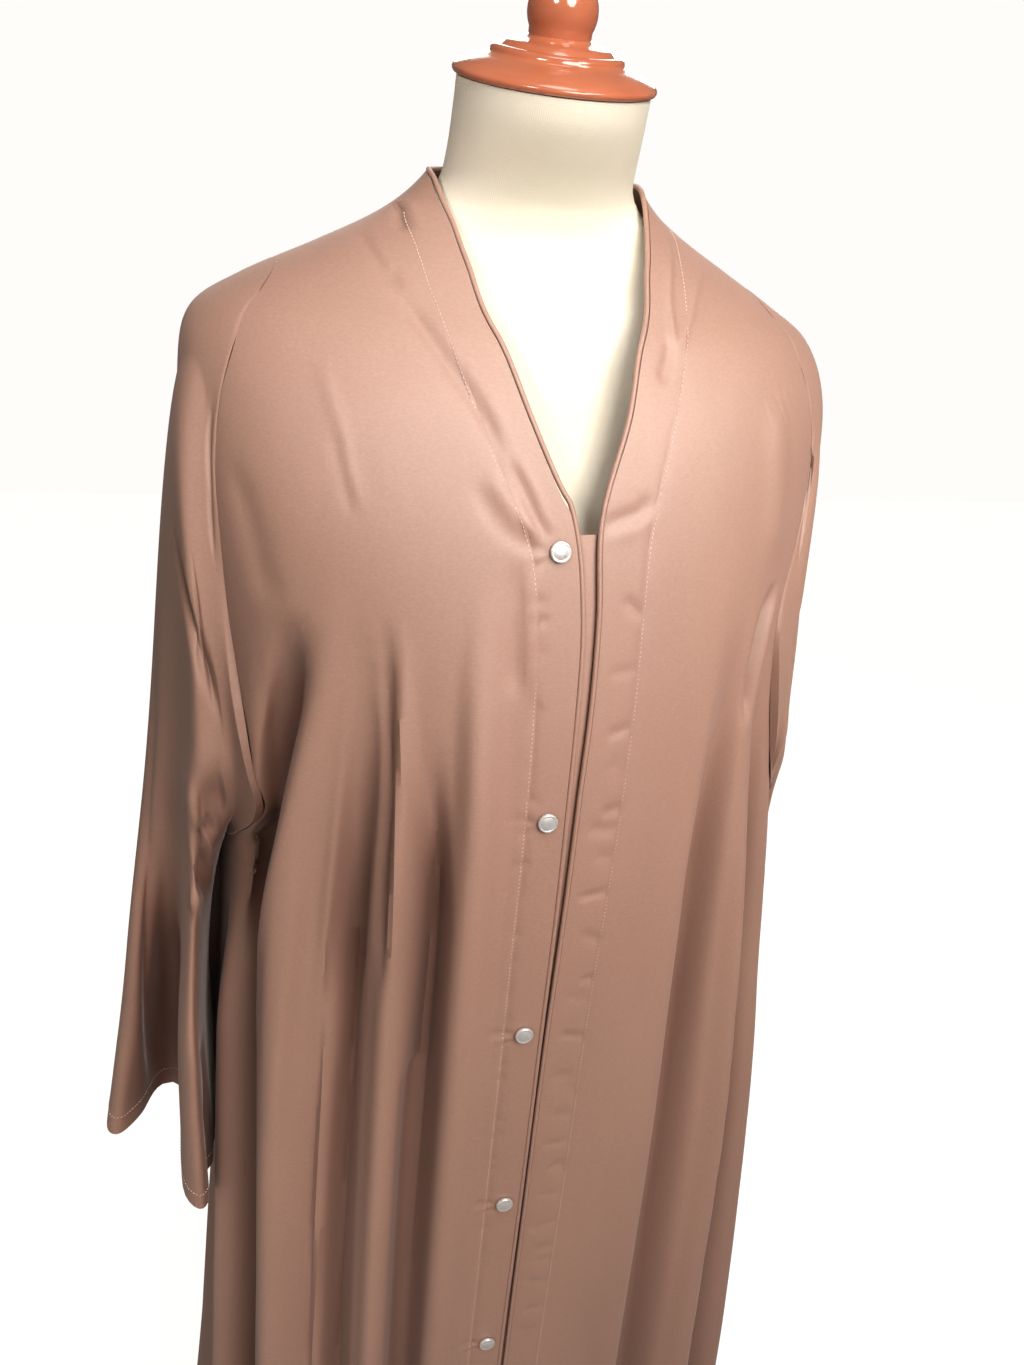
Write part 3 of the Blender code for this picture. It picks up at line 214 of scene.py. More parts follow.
BACK_NECK_ROW = 6  # rows up to this one end on the back neck seam


def hermite(values, position):
    """Smooth interpolation of equally numbered values (rows of an array) at real-valued row numbers."""
    values = np.asarray(values, float)
    position = np.clip(np.asarray(position, float), 0, len(values) - 1)
    low = np.clip(np.floor(position).astype(int), 0, len(values) - 2)
    t = (position - low).reshape(position.shape + (1,) * (values.ndim - 1))
    slopes = np.gradient(values, axis=0)
    h00 = 2 * t**3 - 3 * t**2 + 1
    h10 = t**3 - 2 * t**2 + t
    h01 = -2 * t**3 + 3 * t**2
    h11 = t**3 - t**2
    return h00 * values[low] + h10 * slopes[low] + h01 * values[low + 1] + h11 * slopes[low + 1]


def hermite_round(values, position):
    """The same for values that run round a closed loop."""
    values = np.asarray(values, float)
    closed = np.concatenate([values[-2:], values, values[:3]])
    return hermite(closed, np.asarray(position, float) + 2)


def column(table, columns, name):
    return np.array([row[columns.index(name)] for row in table], float)


LEVEL_COUNT = 4001  # of the list in which the level of a height is looked up
LEVELS = np.linspace(0, len(SECTIONS) - 1, LEVEL_COUNT)
LEVEL_HEIGHTS = hermite(column(SECTIONS, SECTION_COLUMNS, "height"), LEVELS)


def level_of(height):
    """The level at which the body surface has this height."""
    return np.interp(height, LEVEL_HEIGHTS, LEVELS)


def table_value(table, columns, name, height):
    """A smooth value from a table whose first column is a falling height."""
    heights = column(table, columns, "height")
    position = np.interp(-np.asarray(height, float), -heights, np.arange(len(heights)))
    return hermite(column(table, columns, name), position)


def ease(t):
    t = np.clip(t, 0.0, 1.0)
    return t * t * (3 - 2 * t)


def unit(vectors):
    return vectors / np.linalg.norm(vectors, axis=-1, keepdims=True)


def gaps(points, axis=0):
    """Distances between neighbouring points of a line or a grid."""
    return np.linalg.norm(np.diff(points, axis=axis), axis=-1)


def turned_away(angle, centre):
    """Difference of two angles in degrees, from -180 to 180."""
    return (angle - centre + 180) % 360 - 180


FOLD_START_WIDTH = 0.75  # share of a fold's full width that it has where it starts


def fold_depth(angle, height):
    """How far the folds move the cloth outward at this angle (degrees) and height."""
    total = np.zeros(np.broadcast(angle, height).shape)
    for start, full, top, low, depth, before, after, gain in FOLDS:
        grown = np.clip((start - height) / (start - full), 0.0, 1.0)
        away = turned_away(angle, top + (low - top) * ease(grown))
        width = np.where(away > 0, after, before)
        width = width * (FOLD_START_WIDTH + (1 - FOLD_START_WIDTH) * grown)
        share = np.clip(np.abs(away) / width, 0.0, 1.0)
        below = np.maximum(0.0, (full - height) / (full - HEM_HEIGHT))
        total += depth * ease(grown) * (1 + (gain - 1) * below) * 0.5 * (1 + np.cos(math.pi * share))
    return total


def section(level, table=SECTIONS, columns=SECTION_COLUMNS):
    """The table's columns, by name, at real-valued row numbers."""
    values = hermite(np.array([row[: len(columns)] for row in table]), level)
    return {name: values[..., k] for k, name in enumerate(columns)}


def squareness(cut, sine, cosine):
    """How square the section's corner is in the quarter that holds this direction."""
    front = np.where(sine >= 0, cut["square_left"], cut["square_right"])
    return np.where(cosine < 0, cut["square_back"], front)


def plain_body(places):
    """x and y of the unfolded surface, with the half widths of its section, and its height."""
    cut = section(places[..., 1])
    turn = np.radians(places[..., 0])
    sine, cosine = np.sin(turn), np.cos(turn)
    half = np.where(sine >= 0, cut["half_left"], cut["half_right"])
    deep = np.where(cosine >= 0, cut["front"], cut["back"])
    power = 2.0 / squareness(cut, sine, cosine)
    x = half * np.sign(sine) * np.abs(sine) ** power
    y = -deep * np.sign(cosine) * np.abs(cosine) ** power
    return x, y, half, deep, cut["height"]


def body_points(places):
    """Points of the cloth's outer face at an array of (angle, level) places."""
    x, y, half, deep, height = plain_body(np.asarray(places, float))
    out = fold_depth(np.degrees(np.arctan2(x, -y)), height)
    nx, ny = x / half**2, y / deep**2
    length = np.hypot(nx, ny)
    return np.stack([x + out * nx / length, y + out * ny / length, height], axis=-1)


FOLD_SAFETY = 1.15  # a sleeve goes round a ridge as if it were this much deeper


def body_reach(x, y, height):
    """Distance from the upright axis to the cloth's outer face, in the direction of a point."""
    cut = section(level_of(height))
    half = np.where(x >= 0, cut["half_left"], cut["half_right"])
    deep = np.where(y < 0, cut["front"], cut["back"])
    square = squareness(cut, x, -y)
    plain = np.hypot(x, y) / ((np.abs(x) / half) ** square + (np.abs(y) / deep) ** square) ** (1 / square)
    return plain + FOLD_SAFETY * np.maximum(0.0, fold_depth(np.degrees(np.arctan2(x, -y)), height))


NEAR_ANGLE, NEAR_LEVEL = np.array((0.4, 0.0)), np.array((0.0, 0.02))


def body_normals(places):
    """Unit normals of the uncreased cloth, from its slope between places just beside these."""
    top = len(SECTIONS) - 1
    places = np.asarray(places, float)
    above, below = places + NEAR_LEVEL, places - NEAR_LEVEL
    above[..., 1], below[..., 1] = np.minimum(above[..., 1], top), np.maximum(below[..., 1], 0)
    across = body_points(places + NEAR_ANGLE) - body_points(places - NEAR_ANGLE)
    return unit(np.cross(across, body_points(above) - body_points(below)))


def angle_at(x, level, back=False):
    """The angle at which the unfolded section reaches this x."""
    cut = section(level)
    half = np.where(x >= 0, cut["half_left"], cut["half_right"])
    share = np.minimum(1.0, np.abs(x) / half)
    square = squareness(cut, x, -1 if back else 1)
    angle = np.degrees(np.arcsin(share ** (square / 2)))
    return np.copysign(180 - angle if back else angle, x)


def spot(x, height, back=False):
    """(angle, level) of a place given by its x and height."""
    level = level_of(height)
    return float(angle_at(x, level, back)), float(level)


# ---------------------------------------------------------------- panel grids
def side_name(side):
    return "left" if side > 0 else "right"


def outer_edge(row, side, back):
    """(angle, level) where a body panel's row ends: on the shoulder, the armhole or the side seam."""
    height, underarm = ROWS[row][0], ROWS[row][4]
    level = float(level_of(height))
    if row == 0 or underarm >= 1:
        return side * 90.0, level
    name = ("back_" if back else "") + side_name(side)
    reach = table_value(ARMHOLE, ARMHOLE_COLUMNS, name, max(height, ARMHOLE[-1][0]))
    angle = abs(float(angle_at(side * reach, level, back)))
    return side * (angle + (90 - angle) * underarm), level


def front_seam(row, side):
    height = ROWS[row][1]
    if row == 0:
        return side * 90.0, float(level_of(height))
    return spot(table_value(BAND_SEAM, BAND_SEAM_COLUMNS, side_name(side), height), height)


def opening_x(name, height):
    return table_value(OPENING, OPENING_COLUMNS, name, height)


V_NECK_FOOT = 1.32
NECK_SLANT, SHOULDER_SLANT = 0.8, 0.7  # share of an inset from the neck's edge by which it also goes down


def front_opening(row, side, inset=0.0):
    """The edge of the front, or a line this far inside it."""
    height = ROWS[row][2]
    if row == 0:
        return side * 90.0, float(level_of(height - SHOULDER_SLANT * inset))
    x = opening_x(side_name(side), height)
    slant = NECK_SLANT if height > V_NECK_FOOT else 0.0
    return spot(x + side * inset, height - slant * inset)


def back_seam(row, side):
    angle = 90 + 90 * min(1.0, row / BACK_NECK_ROW)
    return side * angle, float(level_of(ROWS[row][3]))


CLEAR_BEFORE, CLEAR_AFTER = 4, 3  # degrees from a panel's ends within which a fold has no column


def fold_columns(low, high, count):
    """Angles from low to high at which a panel's columns hang: on each fold and evenly between folds."""
    first, last = min(low, high), max(low, high)
    centres = sorted(f[3] for f in FOLDS if first + CLEAR_BEFORE < f[3] < last - CLEAR_AFTER)
    anchors = [first] + centres + [last]
    spans = np.diff(anchors)
    parts = np.ones(len(spans), int)
    while parts.sum() < count:
        parts[np.argmax(spans / parts)] += 1
    angles = [anchors[0]]
    for start, span, number in zip(anchors, spans, parts):
        angles += [start + span * (k + 1) / number for k in range(number)]
    return angles if low < high else angles[::-1]


FRONT_COLUMNS = {-1: 24, 1: 21}
BACK_COLUMNS = 13
KNEE_ANGLE = 47.0  # columns nearer the front than this keep their angle below the V neck
KNEE_TOP, KNEE_OVER = 1.40, 0.08  # height at which they begin to do so, and over how much


def front_spots(side):
    """Places of a front's grid, from the band's seam out to the shoulder, armhole and side seam."""
    start_low = front_seam(len(ROWS) - 1, side)[0]
    angles = fold_columns(start_low, side * 90.0, FRONT_COLUMNS[side])
    rows = []
    for row in range(len(ROWS)):
        (start, start_level), (end, end_level) = front_seam(row, side), outer_edge(row, side, False)
        knee_low = (side * KNEE_ANGLE - start_low) / (side * 90 - start_low)
        knee_here = (side * KNEE_ANGLE - start) / (end - start) if row else knee_low
        settled = ease((KNEE_TOP - ROWS[row][0]) / KNEE_OVER)
        knee = knee_low + (knee_here - knee_low) * settled
        places = []
        for angle in angles:
            share = (angle - start_low) / (side * 90.0 - start_low)
            if share < knee_low:
                here = share / knee_low * knee
            else:
                here = knee + (share - knee_low) / (1 - knee_low) * (1 - knee)
            places.append((start + (end - start) * here, start_level + (end_level - start_level) * share))
        rows.append(places)
    return np.array(rows)


def slid(start, end, shares):
    """Places at these shares of the way from one place to another."""
    return [tuple(a + (b - a) * share for a, b in zip(start, end)) for share in shares]


def back_spots(side):
    angles = fold_columns(side * 180.0, side * 90.0, BACK_COLUMNS)
    shares = [(side * 180.0 - angle) / (side * 90.0) for angle in angles]
    rows = [slid(back_seam(row, side), outer_edge(row, side, True), shares) for row in range(len(ROWS))]
    return np.array(rows)


def whole_back_spots():
    """Both halves of the back in one grid, from the wearer's right side to the left."""
    right, left = back_spots(-1), back_spots(1)
    right[..., 0] %= 360
    return np.concatenate([right[:, ::-1], left[:, 1:]], axis=1)


BAND_INSET = 2 * PIPING_RADIUS + SEAM_GAP
BAND_SHARES = (0, 0.5, 1)
NECK_ANGLES = np.linspace(90, 270, 2 * BACK_NECK_ROW + 1)


def band_spots(side):
    rows = range(len(ROWS))
    ends = [(front_seam(row, side), front_opening(row, side, BAND_INSET)) for row in rows]
    return np.array([slid(seam, edge, BAND_SHARES) for seam, edge in ends])


def neck_band_spots():
    low, high = level_of(NECK_SEAM_HEIGHT), front_opening(0, 1, BAND_INSET)[1]
    return np.array([slid((angle, low), (angle, high), BAND_SHARES) for angle in NECK_ANGLES])


# ---------------------------------------------------------------- creases
# Creases on the body, each a soft trough (depth below 0) or ridge along a route of (polar angle, height)
# places, in mm: depth, half width, and the height of the lip that the cloth throws up beside it.
# The lip is on the left of the route's direction when above 0, on its right when below.
BODY_CREASES = (
    # wearer's right front, from the shoulder to the top snap
    (-1.9, 4.5, 0.7, ((-52, 1.423), (-42.5, 1.410), (-33, 1.393), (-26, 1.379), (-20, 1.362), (-15, 1.343))),
    (-1.4, 3.5, 0.5, ((-16, 1.350), (-10.5, 1.330), (-7, 1.314), (-3.5, 1.305))),
    (1.4, 4.0, 0.0, ((-20, 1.342), (-14.5, 1.326), (-9, 1.313), (-5, 1.306))),
    (-1.2, 5.0, 0.0, ((-23, 1.338), (-17.5, 1.319), (-12.5, 1.308), (-5, 1.301))),
    (0.8, 3.2, 0.0, ((-58, 1.394), (-52, 1.373), (-48, 1.355), (-44.5, 1.333), (-40, 1.313))),
    (-0.6, 3.5, 0.0, ((-51, 1.362), (-46.5, 1.340), (-43, 1.312))),
    (1.2, 3.0, 0.0, ((-73, 1.447), (-63, 1.439), (-56, 1.431))),
    (-1.4, 4.5, 0.0, ((-82, 1.450), (-67.5, 1.442), (-51, 1.423))),
    (-2.2, 4.5, 0.8, ((-86, 1.466), (-76, 1.460), (-66, 1.452))),
    (-1.6, 9.0, 0.0, ((-66, 1.335), (-60, 1.302), (-57, 1.276), (-54, 1.252))),
    # the pocket under the bust, its crest, and the folds nearer the band
    (-13.0, 13.0, 0.0, ((-50, 1.262), (-51.5, 1.217), (-54.5, 1.171), (-57.5, 1.117), (-60, 1.063),
                        (-61, 0.96))),
    (4.5, 4.0, 0.0, ((-45.5, 1.262), (-46, 1.232), (-47, 1.180), (-49, 1.120), (-52, 1.05), (-55, 0.96),
                     (-56, 0.80), (-56, 0.50), (-56, -0.3))),
    (-4.5, 4.0, 1.5, ((-36, 1.268), (-34, 1.237), (-32.5, 1.190), (-31.5, 1.152), (-31, 1.099), (-30, 1.0))),
    (-4.5, 9.0, 0.0, ((-37, 1.262), (-36, 1.212), (-36, 1.145), (-37.5, 1.064), (-39.5, 0.95))),
    (-3.5, 3.5, 1.5, ((-39.5, 1.245), (-38.5, 1.184), (-39, 1.142), (-40.5, 1.06), (-42, 0.95),
                      (-43, 0.70), (-43, -0.3))),
    (-6.0, 4.5, 2.0, ((-25.5, 1.180), (-23.5, 1.118), (-22.5, 1.054), (-23, 0.95), (-24, 0.80),
                      (-24, -0.3))),
    (-1.8, 6.0, 0.0, ((-12, 1.302), (-11.5, 1.274), (-11, 1.246), (-9, 1.210))),
    (1.8, 4.0, 0.0, ((-7.5, 1.298), (-7.5, 1.274), (-7, 1.251), (-6, 1.210))),
    (3.0, 5.0, 0.0, ((-40, 1.03), (-38, 0.93), (-37, 0.80), (-37, 0.60), (-36, -0.3))),
    (2.0, 3.5, 0.0, ((-46, 1.12), (-47, 1.03), (-48, 0.93), (-49, 0.84))),
    # wearer's left front
    (1.7, 2.8, 0.0, ((70, 1.460), (56.5, 1.447), (44.5, 1.430), (37, 1.410), (32.5, 1.398))),
    (1.4, 3.2, 0.0, ((74, 1.447), (57.5, 1.434), (47, 1.420), (39.5, 1.409), (33, 1.398))),
    (-1.6, 4.5, 0.0, ((36, 1.409), (32, 1.399), (27, 1.386))),
    (-1.3, 4.5, 0.4, ((21.5, 1.331), (17, 1.321), (12, 1.317), (7, 1.311))),
    (-6.0, 4.5, 2.0, ((54, 1.270), (50, 1.245), (47, 1.210), (46, 1.17))),
    (-4.0, 9.0, 0.0, ((43, 1.262), (41.5, 1.223), (41, 1.170), (40, 1.10), (39, 0.98), (37, 0.70),
                      (37, -0.3))),
    (2.0, 10.0, 0.0, ((58, 1.380), (54, 1.331), (51.5, 1.275))),
    (-4.5, 5.0, 1.5, ((56, 1.10), (58, 0.98), (59, 0.80), (58, 0.50), (57, -0.3))),
    (3.0, 5.0, 0.0, ((47, 1.15), (48.5, 1.0), (49, 0.80), (50, 0.50), (50, -0.3))),
    # the back: drags from the shoulders, and soft hollows down to the hem
    (-1.8, 6.0, 0.8, ((112, 1.455), (126, 1.425), (141, 1.392), (152, 1.350))),
    (-1.5, 7.0, 0.0, ((-115, 1.450), (-128, 1.412), (-139, 1.365))),
    (1.4, 5.0, 0.0, ((120, 1.440), (134, 1.405), (143, 1.370))),
    (-3.5, 9.0, 0.0, ((150, 1.16), (152, 1.02), (155, 0.80), (156, 0.45), (156, -0.3))),
    (-4.0, 8.0, 1.5, ((-142, 1.20), (-145, 1.05), (-149, 0.85), (-150, 0.55), (-151, 0.20))),
    (3.0, 6.0, 0.0, ((126, 1.10), (124, 0.92), (123, 0.66), (124, -0.3))),
    (-3.0, 7.0, 0.0, ((-118, 1.12), (-116, 0.90), (-115, 0.62), (-116, 0.30))),
    (2.5, 6.0, 0.0, ((-165, 1.08), (-167, 0.84), (-166, 0.50), (-166, -0.3))),
    # a soft ridge down the wearer's right side, behind the sleeve
    (16.0, 18.0, 0.0, ((-95, 1.09), (-97, 1.05), (-98, 0.98), (-99, 0.86), (-99, 0.70))),
)


END_SHARE = 0.25  # share of a crease's length over which it grows in, and out again


def eased_ends(count):
    """A run of values that rises from 0 to 1 and falls again at its end."""
    t = np.linspace(0, 1, count)
    return ease(np.minimum(t, 1 - t) / END_SHARE)


CREASE_REACH = 4  # half widths beyond which a crease is not felt
CREASE_PLACES = 3  # places in a half width at which its line is known
LIP_ASIDE = 2.0  # half widths from the line to the middle of its lip


def creased(points, normals, flat, creases, laid):
    """Points moved along their normals by creases.

    flat holds the points' places on the cloth laid flat, and laid turns a route into such places.
    """
    spread, lift = flat.reshape(-1, 2), np.zeros(flat.size // 2)
    for depth, half_width, lip, route in creases:
        width = half_width * MM
        corners = laid(*np.array(route, float).T)
        line = hermite(corners, steps(gaps(corners), width / CREASE_PLACES))
        strength = eased_ends(len(line))
        reach = CREASE_REACH * width
        near = np.all((spread > line.min(axis=0) - reach) & (spread < line.max(axis=0) + reach), axis=1)
        places = np.flatnonzero(near)
        if not len(places):
            continue
        apart = spread[places][:, None] - line[None]
        closest = np.sum(apart**2, axis=2).argmin(axis=1)
        ahead = unit(np.gradient(line, axis=0))
        shift, along = apart[np.arange(len(places)), closest], ahead[closest]
        aside = (along[:, 0] * shift[:, 1] - along[:, 1] * shift[:, 0]) / width
        past = np.sum(along * shift, axis=1) / width
        share = np.hypot(aside, np.where((closest == 0) | (closest == len(line) - 1), past, 0))
        shape = depth * np.exp(-(share**2))
        shape += abs(lip) * np.exp(-((aside * math.copysign(1, lip) - LIP_ASIDE) ** 2))
        lift[places] += shape * strength[closest] * MM
    return points + (normals.reshape(-1, 3) * lift[:, None]).reshape(points.shape)


LEVEL_CUTS = section(LEVELS)
LEVEL_GIRTHS = (LEVEL_CUTS["front"] + LEVEL_CUTS["half_right"]) / 2
LEVEL_RUNS = np.cumsum(np.hypot(np.gradient(LEVEL_GIRTHS), np.gradient(LEVEL_HEIGHTS)))


def laid_body(polar, height):
    """(across, up) in metres of body places on the cloth laid flat; a route may run on below the hem."""
    across = np.radians(polar) * np.interp(level_of(height), LEVELS, LEVEL_GIRTHS)
    up = np.interp(level_of(height), LEVELS, LEVEL_RUNS) + np.minimum(0, height - HEM_HEIGHT)
    return np.stack([across, up], axis=-1)


def polar_places(places):
    """(polar angle, height) of (angle, level) places."""
    x, y, _, _, height = plain_body(np.asarray(places, float))
    return np.stack([np.degrees(np.arctan2(x, -y)), height], axis=-1)


def polar_edge(edge, side, height):
    """Polar angle, at these heights, of a line that runs down the front."""
    line = polar_places([edge(row, side) for row in range(len(ROWS) - 1, 0, -1)])
    return np.interp(height, line[:, 1], line[:, 0])


DITCH_DEPTH, DITCH_WIDTH = -0.7, 2.2  # mm, of the dip along the band's seam
PUCKER_TOP, PUCKER_SEED = 1.30, 7
PUCKER_STARTS, PUCKER_ENDS = (0.3, 1.0), (0.45, 1.0)  # shares of the full start and end that are drawn
PUCKER_TILTS = (-0.006, 0.014)  # rise towards the band's edge (m)
PUCKERS = {  # side: smallest and largest step (m), depth and half width (mm), share of the band's width
    -1: (0.014, 0.034, -0.3, -0.7, 2.4, 3.6, -0.35, 0.30),
    1: (0.012, 0.042, -0.4, -1.1, 3.0, 6.0, -0.15, 0.80),
}
DRAG_AT_TOP, DRAG_GROWTH = 0.7, 0.2  # the drags' depth at the top snap, and its gain at each snap below
SNAP_DRAGS = (  # depth mm, half width mm, then from and to: mm towards the wearer's right, mm up
    (-0.9, 2.2, 6, 0.5, 26, 3.5), (0.6, 2.0, 7, -2.5, 21, -5.0), (-0.7, 2.4, 6, -4.0, 18, -9.0),
)


def snap_spots():
    """(x, height) of each snap, down the middle of the right front's band."""
    heights = [SNAP_TOP_HEIGHT - SNAP_SPACING * number for number in range(SNAP_COUNT)]
    return [(opening_x("right", height) - SNAP_INSET, height) for height in heights]


def sewn_creases():
    """The dip along each band's seam, the small puckers its stitches pull, and the drags at the snaps."""
    found = []
    chance = np.random.default_rng(PUCKER_SEED)
    for side in (-1, 1):
        seam = polar_places([front_seam(row, side) for row in range(1, len(ROWS))])
        found.append((DITCH_DEPTH, DITCH_WIDTH, 0.0, seam))
        near, far, low, high, thin, wide, start, end = PUCKERS[side]
        height = PUCKER_TOP
        while height > HEM_HEIGHT + far:
            height -= chance.uniform(near, far)
            outer, inner = (polar_edge(edge, side, height) for edge in (front_seam, front_opening))
            first, last = start * chance.uniform(*PUCKER_STARTS), end * chance.uniform(*PUCKER_ENDS)
            tilt = chance.uniform(*PUCKER_TILTS)
            shares = [(t, first + (last - first) * t) for t in (0, 0.5, 1)]
            route = [(outer + (inner - outer) * share, height + tilt * t) for t, share in shares]
            found.append((chance.uniform(high, low), chance.uniform(thin, wide), 0.0, route))
    for number, (x, height) in enumerate(snap_spots()):
        deeper = DRAG_AT_TOP + DRAG_GROWTH * number
        for depth, half_width, *ends in SNAP_DRAGS:
            route = [spot(x - across * MM, height + up * MM) for across, up in zip(ends[::2], ends[1::2])]
            found.append((depth * deeper, half_width, 0.0, polar_places(route)))
    return tuple(found)


CREASES = BODY_CREASES + sewn_creases()


def dressed(places):
    """Creased points of the body surface, and the normals there, at (angle, level) places."""
    points, normals = body_points(places), body_normals(places)
    flat = laid_body(*np.moveaxis(polar_places(places), -1, 0))
    return creased(points, normals, flat, CREASES, laid_body), normals


# ---------------------------------------------------------------- fine grids and meshes
def steps(lengths, size):
    """Real-valued places along a run of intervals with these lengths, about size apart."""
    counts = [max(1, math.ceil(length / size)) for length in lengths]
    runs = [np.linspace(k, k + 1, count, endpoint=False) for k, count in enumerate(counts)]
    return np.concatenate(runs + [[len(lengths)]])


def refined(spots, size):
    """A grid of places with more rows and columns, about size apart and smooth between the given ones."""
    points = body_points(spots)
    down, across = gaps(points).mean(axis=1), gaps(points, 1)[2:].mean(axis=0)
    taller = hermite(spots, steps(down, size))
    wider = hermite(np.swapaxes(taller, 0, 1), steps(across, size))
    return np.swapaxes(wider, 0, 1)


def grid_normals(points, like=None, closed=False):
    """Unit normals of a grid of points; like is a direction, or directions, on their outer side."""
    if closed:
        across = np.roll(points, -1, axis=1) - np.roll(points, 1, axis=1)
    else:
        across = np.gradient(points, axis=1)
    normals = np.cross(across, np.gradient(points, axis=0))
    normals /= np.maximum(np.linalg.norm(normals, axis=2, keepdims=True), 1e-12)
    return normals if like is None else normals * np.sign(np.sum(normals * like, axis=2, keepdims=True))


def placed(name, data):
    """A new object in the scene that shows this mesh, lamp or camera."""
    made = bpy.data.objects.new(name, data)
    bpy.context.scene.collection.objects.link(made)
    return made


def new_piece(name, vertices, faces, material, replaced=(), smooth_angle=60):
    mesh = bpy.data.meshes.new(name)
    faces = faces.tolist() if isinstance(faces, np.ndarray) else faces
    mesh.from_pydata(np.asarray(vertices, float).tolist(), [], faces)
    mesh.update()
    mesh.shade_smooth()
    mesh.set_sharp_from_angle(angle=math.radians(smooth_angle))
    mesh.materials.append(material)
    made = placed(name, mesh)
    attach(made, "root")
    if replaced:
        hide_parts(*replaced)
    return made


def grid_quads(rows, columns, closed):
    """Point numbers of a grid and its faces; closed joins the last column to the first."""
    index = np.arange(rows * columns).reshape(rows, columns)
    right = np.roll(index, -1, axis=1) if closed else index[:, 1:]
    left = index if closed else index[:, :-1]
    return index, np.stack([left[:-1], right[:-1], right[1:], left[1:]], axis=-1).reshape(-1, 4)


def skin(name, rings, material, replaced):
    """A closed skin over rings of points, with a flat face at both ends."""
    index, quads = grid_quads(*rings.shape[:2], True)
    faces = quads.tolist() + [index[0][::-1].tolist(), index[-1].tolist()]
    return new_piece(name, rings.reshape(-1, 3), faces, material, replaced)


SHELL_SHARP = 50  # degrees from which an edge of a cloth wall is sharp


def shell(name, outer, normals, thickness, material, replaced, closed):
    """A thin closed wall: a grid of outer points, its offset inner copy and the rim between them."""
    inner = outer - normals * thickness
    index, quads = grid_quads(*outer.shape[:2], closed)
    a, b, c = (outer.reshape(-1, 3)[quads[len(quads) // 2][k]] for k in (0, 1, 2))
    facing = np.cross(b - a, c - b) @ normals.reshape(-1, 3)[quads[len(quads) // 2][0]]
    if facing < 0:
        quads = quads[:, ::-1]
    count = index.size
    if closed:
        loops = [np.append(index[0], index[0, 0]), np.append(index[-1], index[-1, 0])[::-1]]
    else:
        loops = [np.concatenate([index[0], index[1:, -1], index[-1, -2::-1], index[-2::-1, 0]])]
    rims = []
    for loop in loops:
        rim = np.stack([loop[1:], loop[:-1], loop[:-1] + count, loop[1:] + count], axis=-1)
        rims.append(rim if facing >= 0 else rim[:, ::-1])
    faces = np.concatenate([quads, quads[:, ::-1] + count] + rims)
    vertices = np.concatenate([outer.reshape(-1, 3), inner.reshape(-1, 3)])
    return new_piece(name, vertices, faces, material, replaced, SHELL_SHARP)


# ---------------------------------------------------------------- sleeves
# One row for each loop of a sleeve, armhole to cuff: how far out from the middle plane, and how high, the
# loop is at its outer fold, its front, its underarm and its back, and the y of its front and back.
SLEEVE_COLUMNS = (
    "outer", "outer_z", "front", "front_y", "front_z", "under", "under_z", "back", "back_y", "back_z",
)
SLEEVE_RIGHT = (
    (0.155, 1.430, 0.176, -0.100, 1.250, 0.203, 1.050, 0.180, 0.088, 1.250),
    (0.184, 1.417, 0.189, -0.097, 1.240, 0.205, 1.038, 0.191, 0.088, 1.240),
    (0.206, 1.393, 0.200, -0.097, 1.218, 0.207, 1.022, 0.201, 0.090, 1.218),
    (0.2195, 1.341, 0.208, -0.099, 1.178, 0.209, 0.998, 0.209, 0.095, 1.178),
    (0.2320, 1.255, 0.214, -0.102, 1.115, 0.212, 0.966, 0.216, 0.100, 1.115),
    (0.2435, 1.145, 0.219, -0.105, 1.038, 0.216, 0.925, 0.224, 0.105, 1.038),
    (0.2600, 1.025, 0.224, -0.108, 0.953, 0.219, 0.878, 0.233, 0.110, 0.953),
    (0.2770, 0.908, 0.227, -0.109, 0.868, 0.219, 0.828, 0.242, 0.113, 0.865),
    (0.2930, 0.817, 0.228, -0.110, 0.797, 0.219, 0.778, 0.250, 0.116, 0.792),
    (0.3050, 0.752, 0.229, -0.110, 0.744, 0.218, 0.738, 0.256, 0.118, 0.736),
)
SLEEVE_LEFT = (
    (0.143, 1.430, 0.150, -0.104, 1.250, 0.205, 1.050, 0.180, 0.088, 1.250),
    (0.173, 1.413, 0.160, -0.102, 1.240, 0.208, 1.038, 0.192, 0.092, 1.240),
    (0.193, 1.383, 0.171, -0.098, 1.218, 0.211, 1.022, 0.203, 0.099, 1.218),
    (0.2055, 1.331, 0.181, -0.091, 1.178, 0.215, 0.998, 0.214, 0.108, 1.178),
    (0.2160, 1.248, 0.192, -0.080, 1.115, 0.220, 0.966, 0.224, 0.119, 1.115),
    (0.2270, 1.142, 0.205, -0.064, 1.038, 0.228, 0.925, 0.236, 0.132, 1.038),
    (0.2410, 1.022, 0.220, -0.045, 0.953, 0.237, 0.878, 0.250, 0.145, 0.953),
    (0.2570, 0.906, 0.235, -0.026, 0.868, 0.247, 0.828, 0.264, 0.157, 0.865),
    (0.2720, 0.815, 0.247, -0.010, 0.797, 0.256, 0.778, 0.276, 0.166, 0.792),
    (0.2830, 0.750, 0.256, 0.000, 0.744, 0.263, 0.738, 0.285, 0.171, 0.736),
)
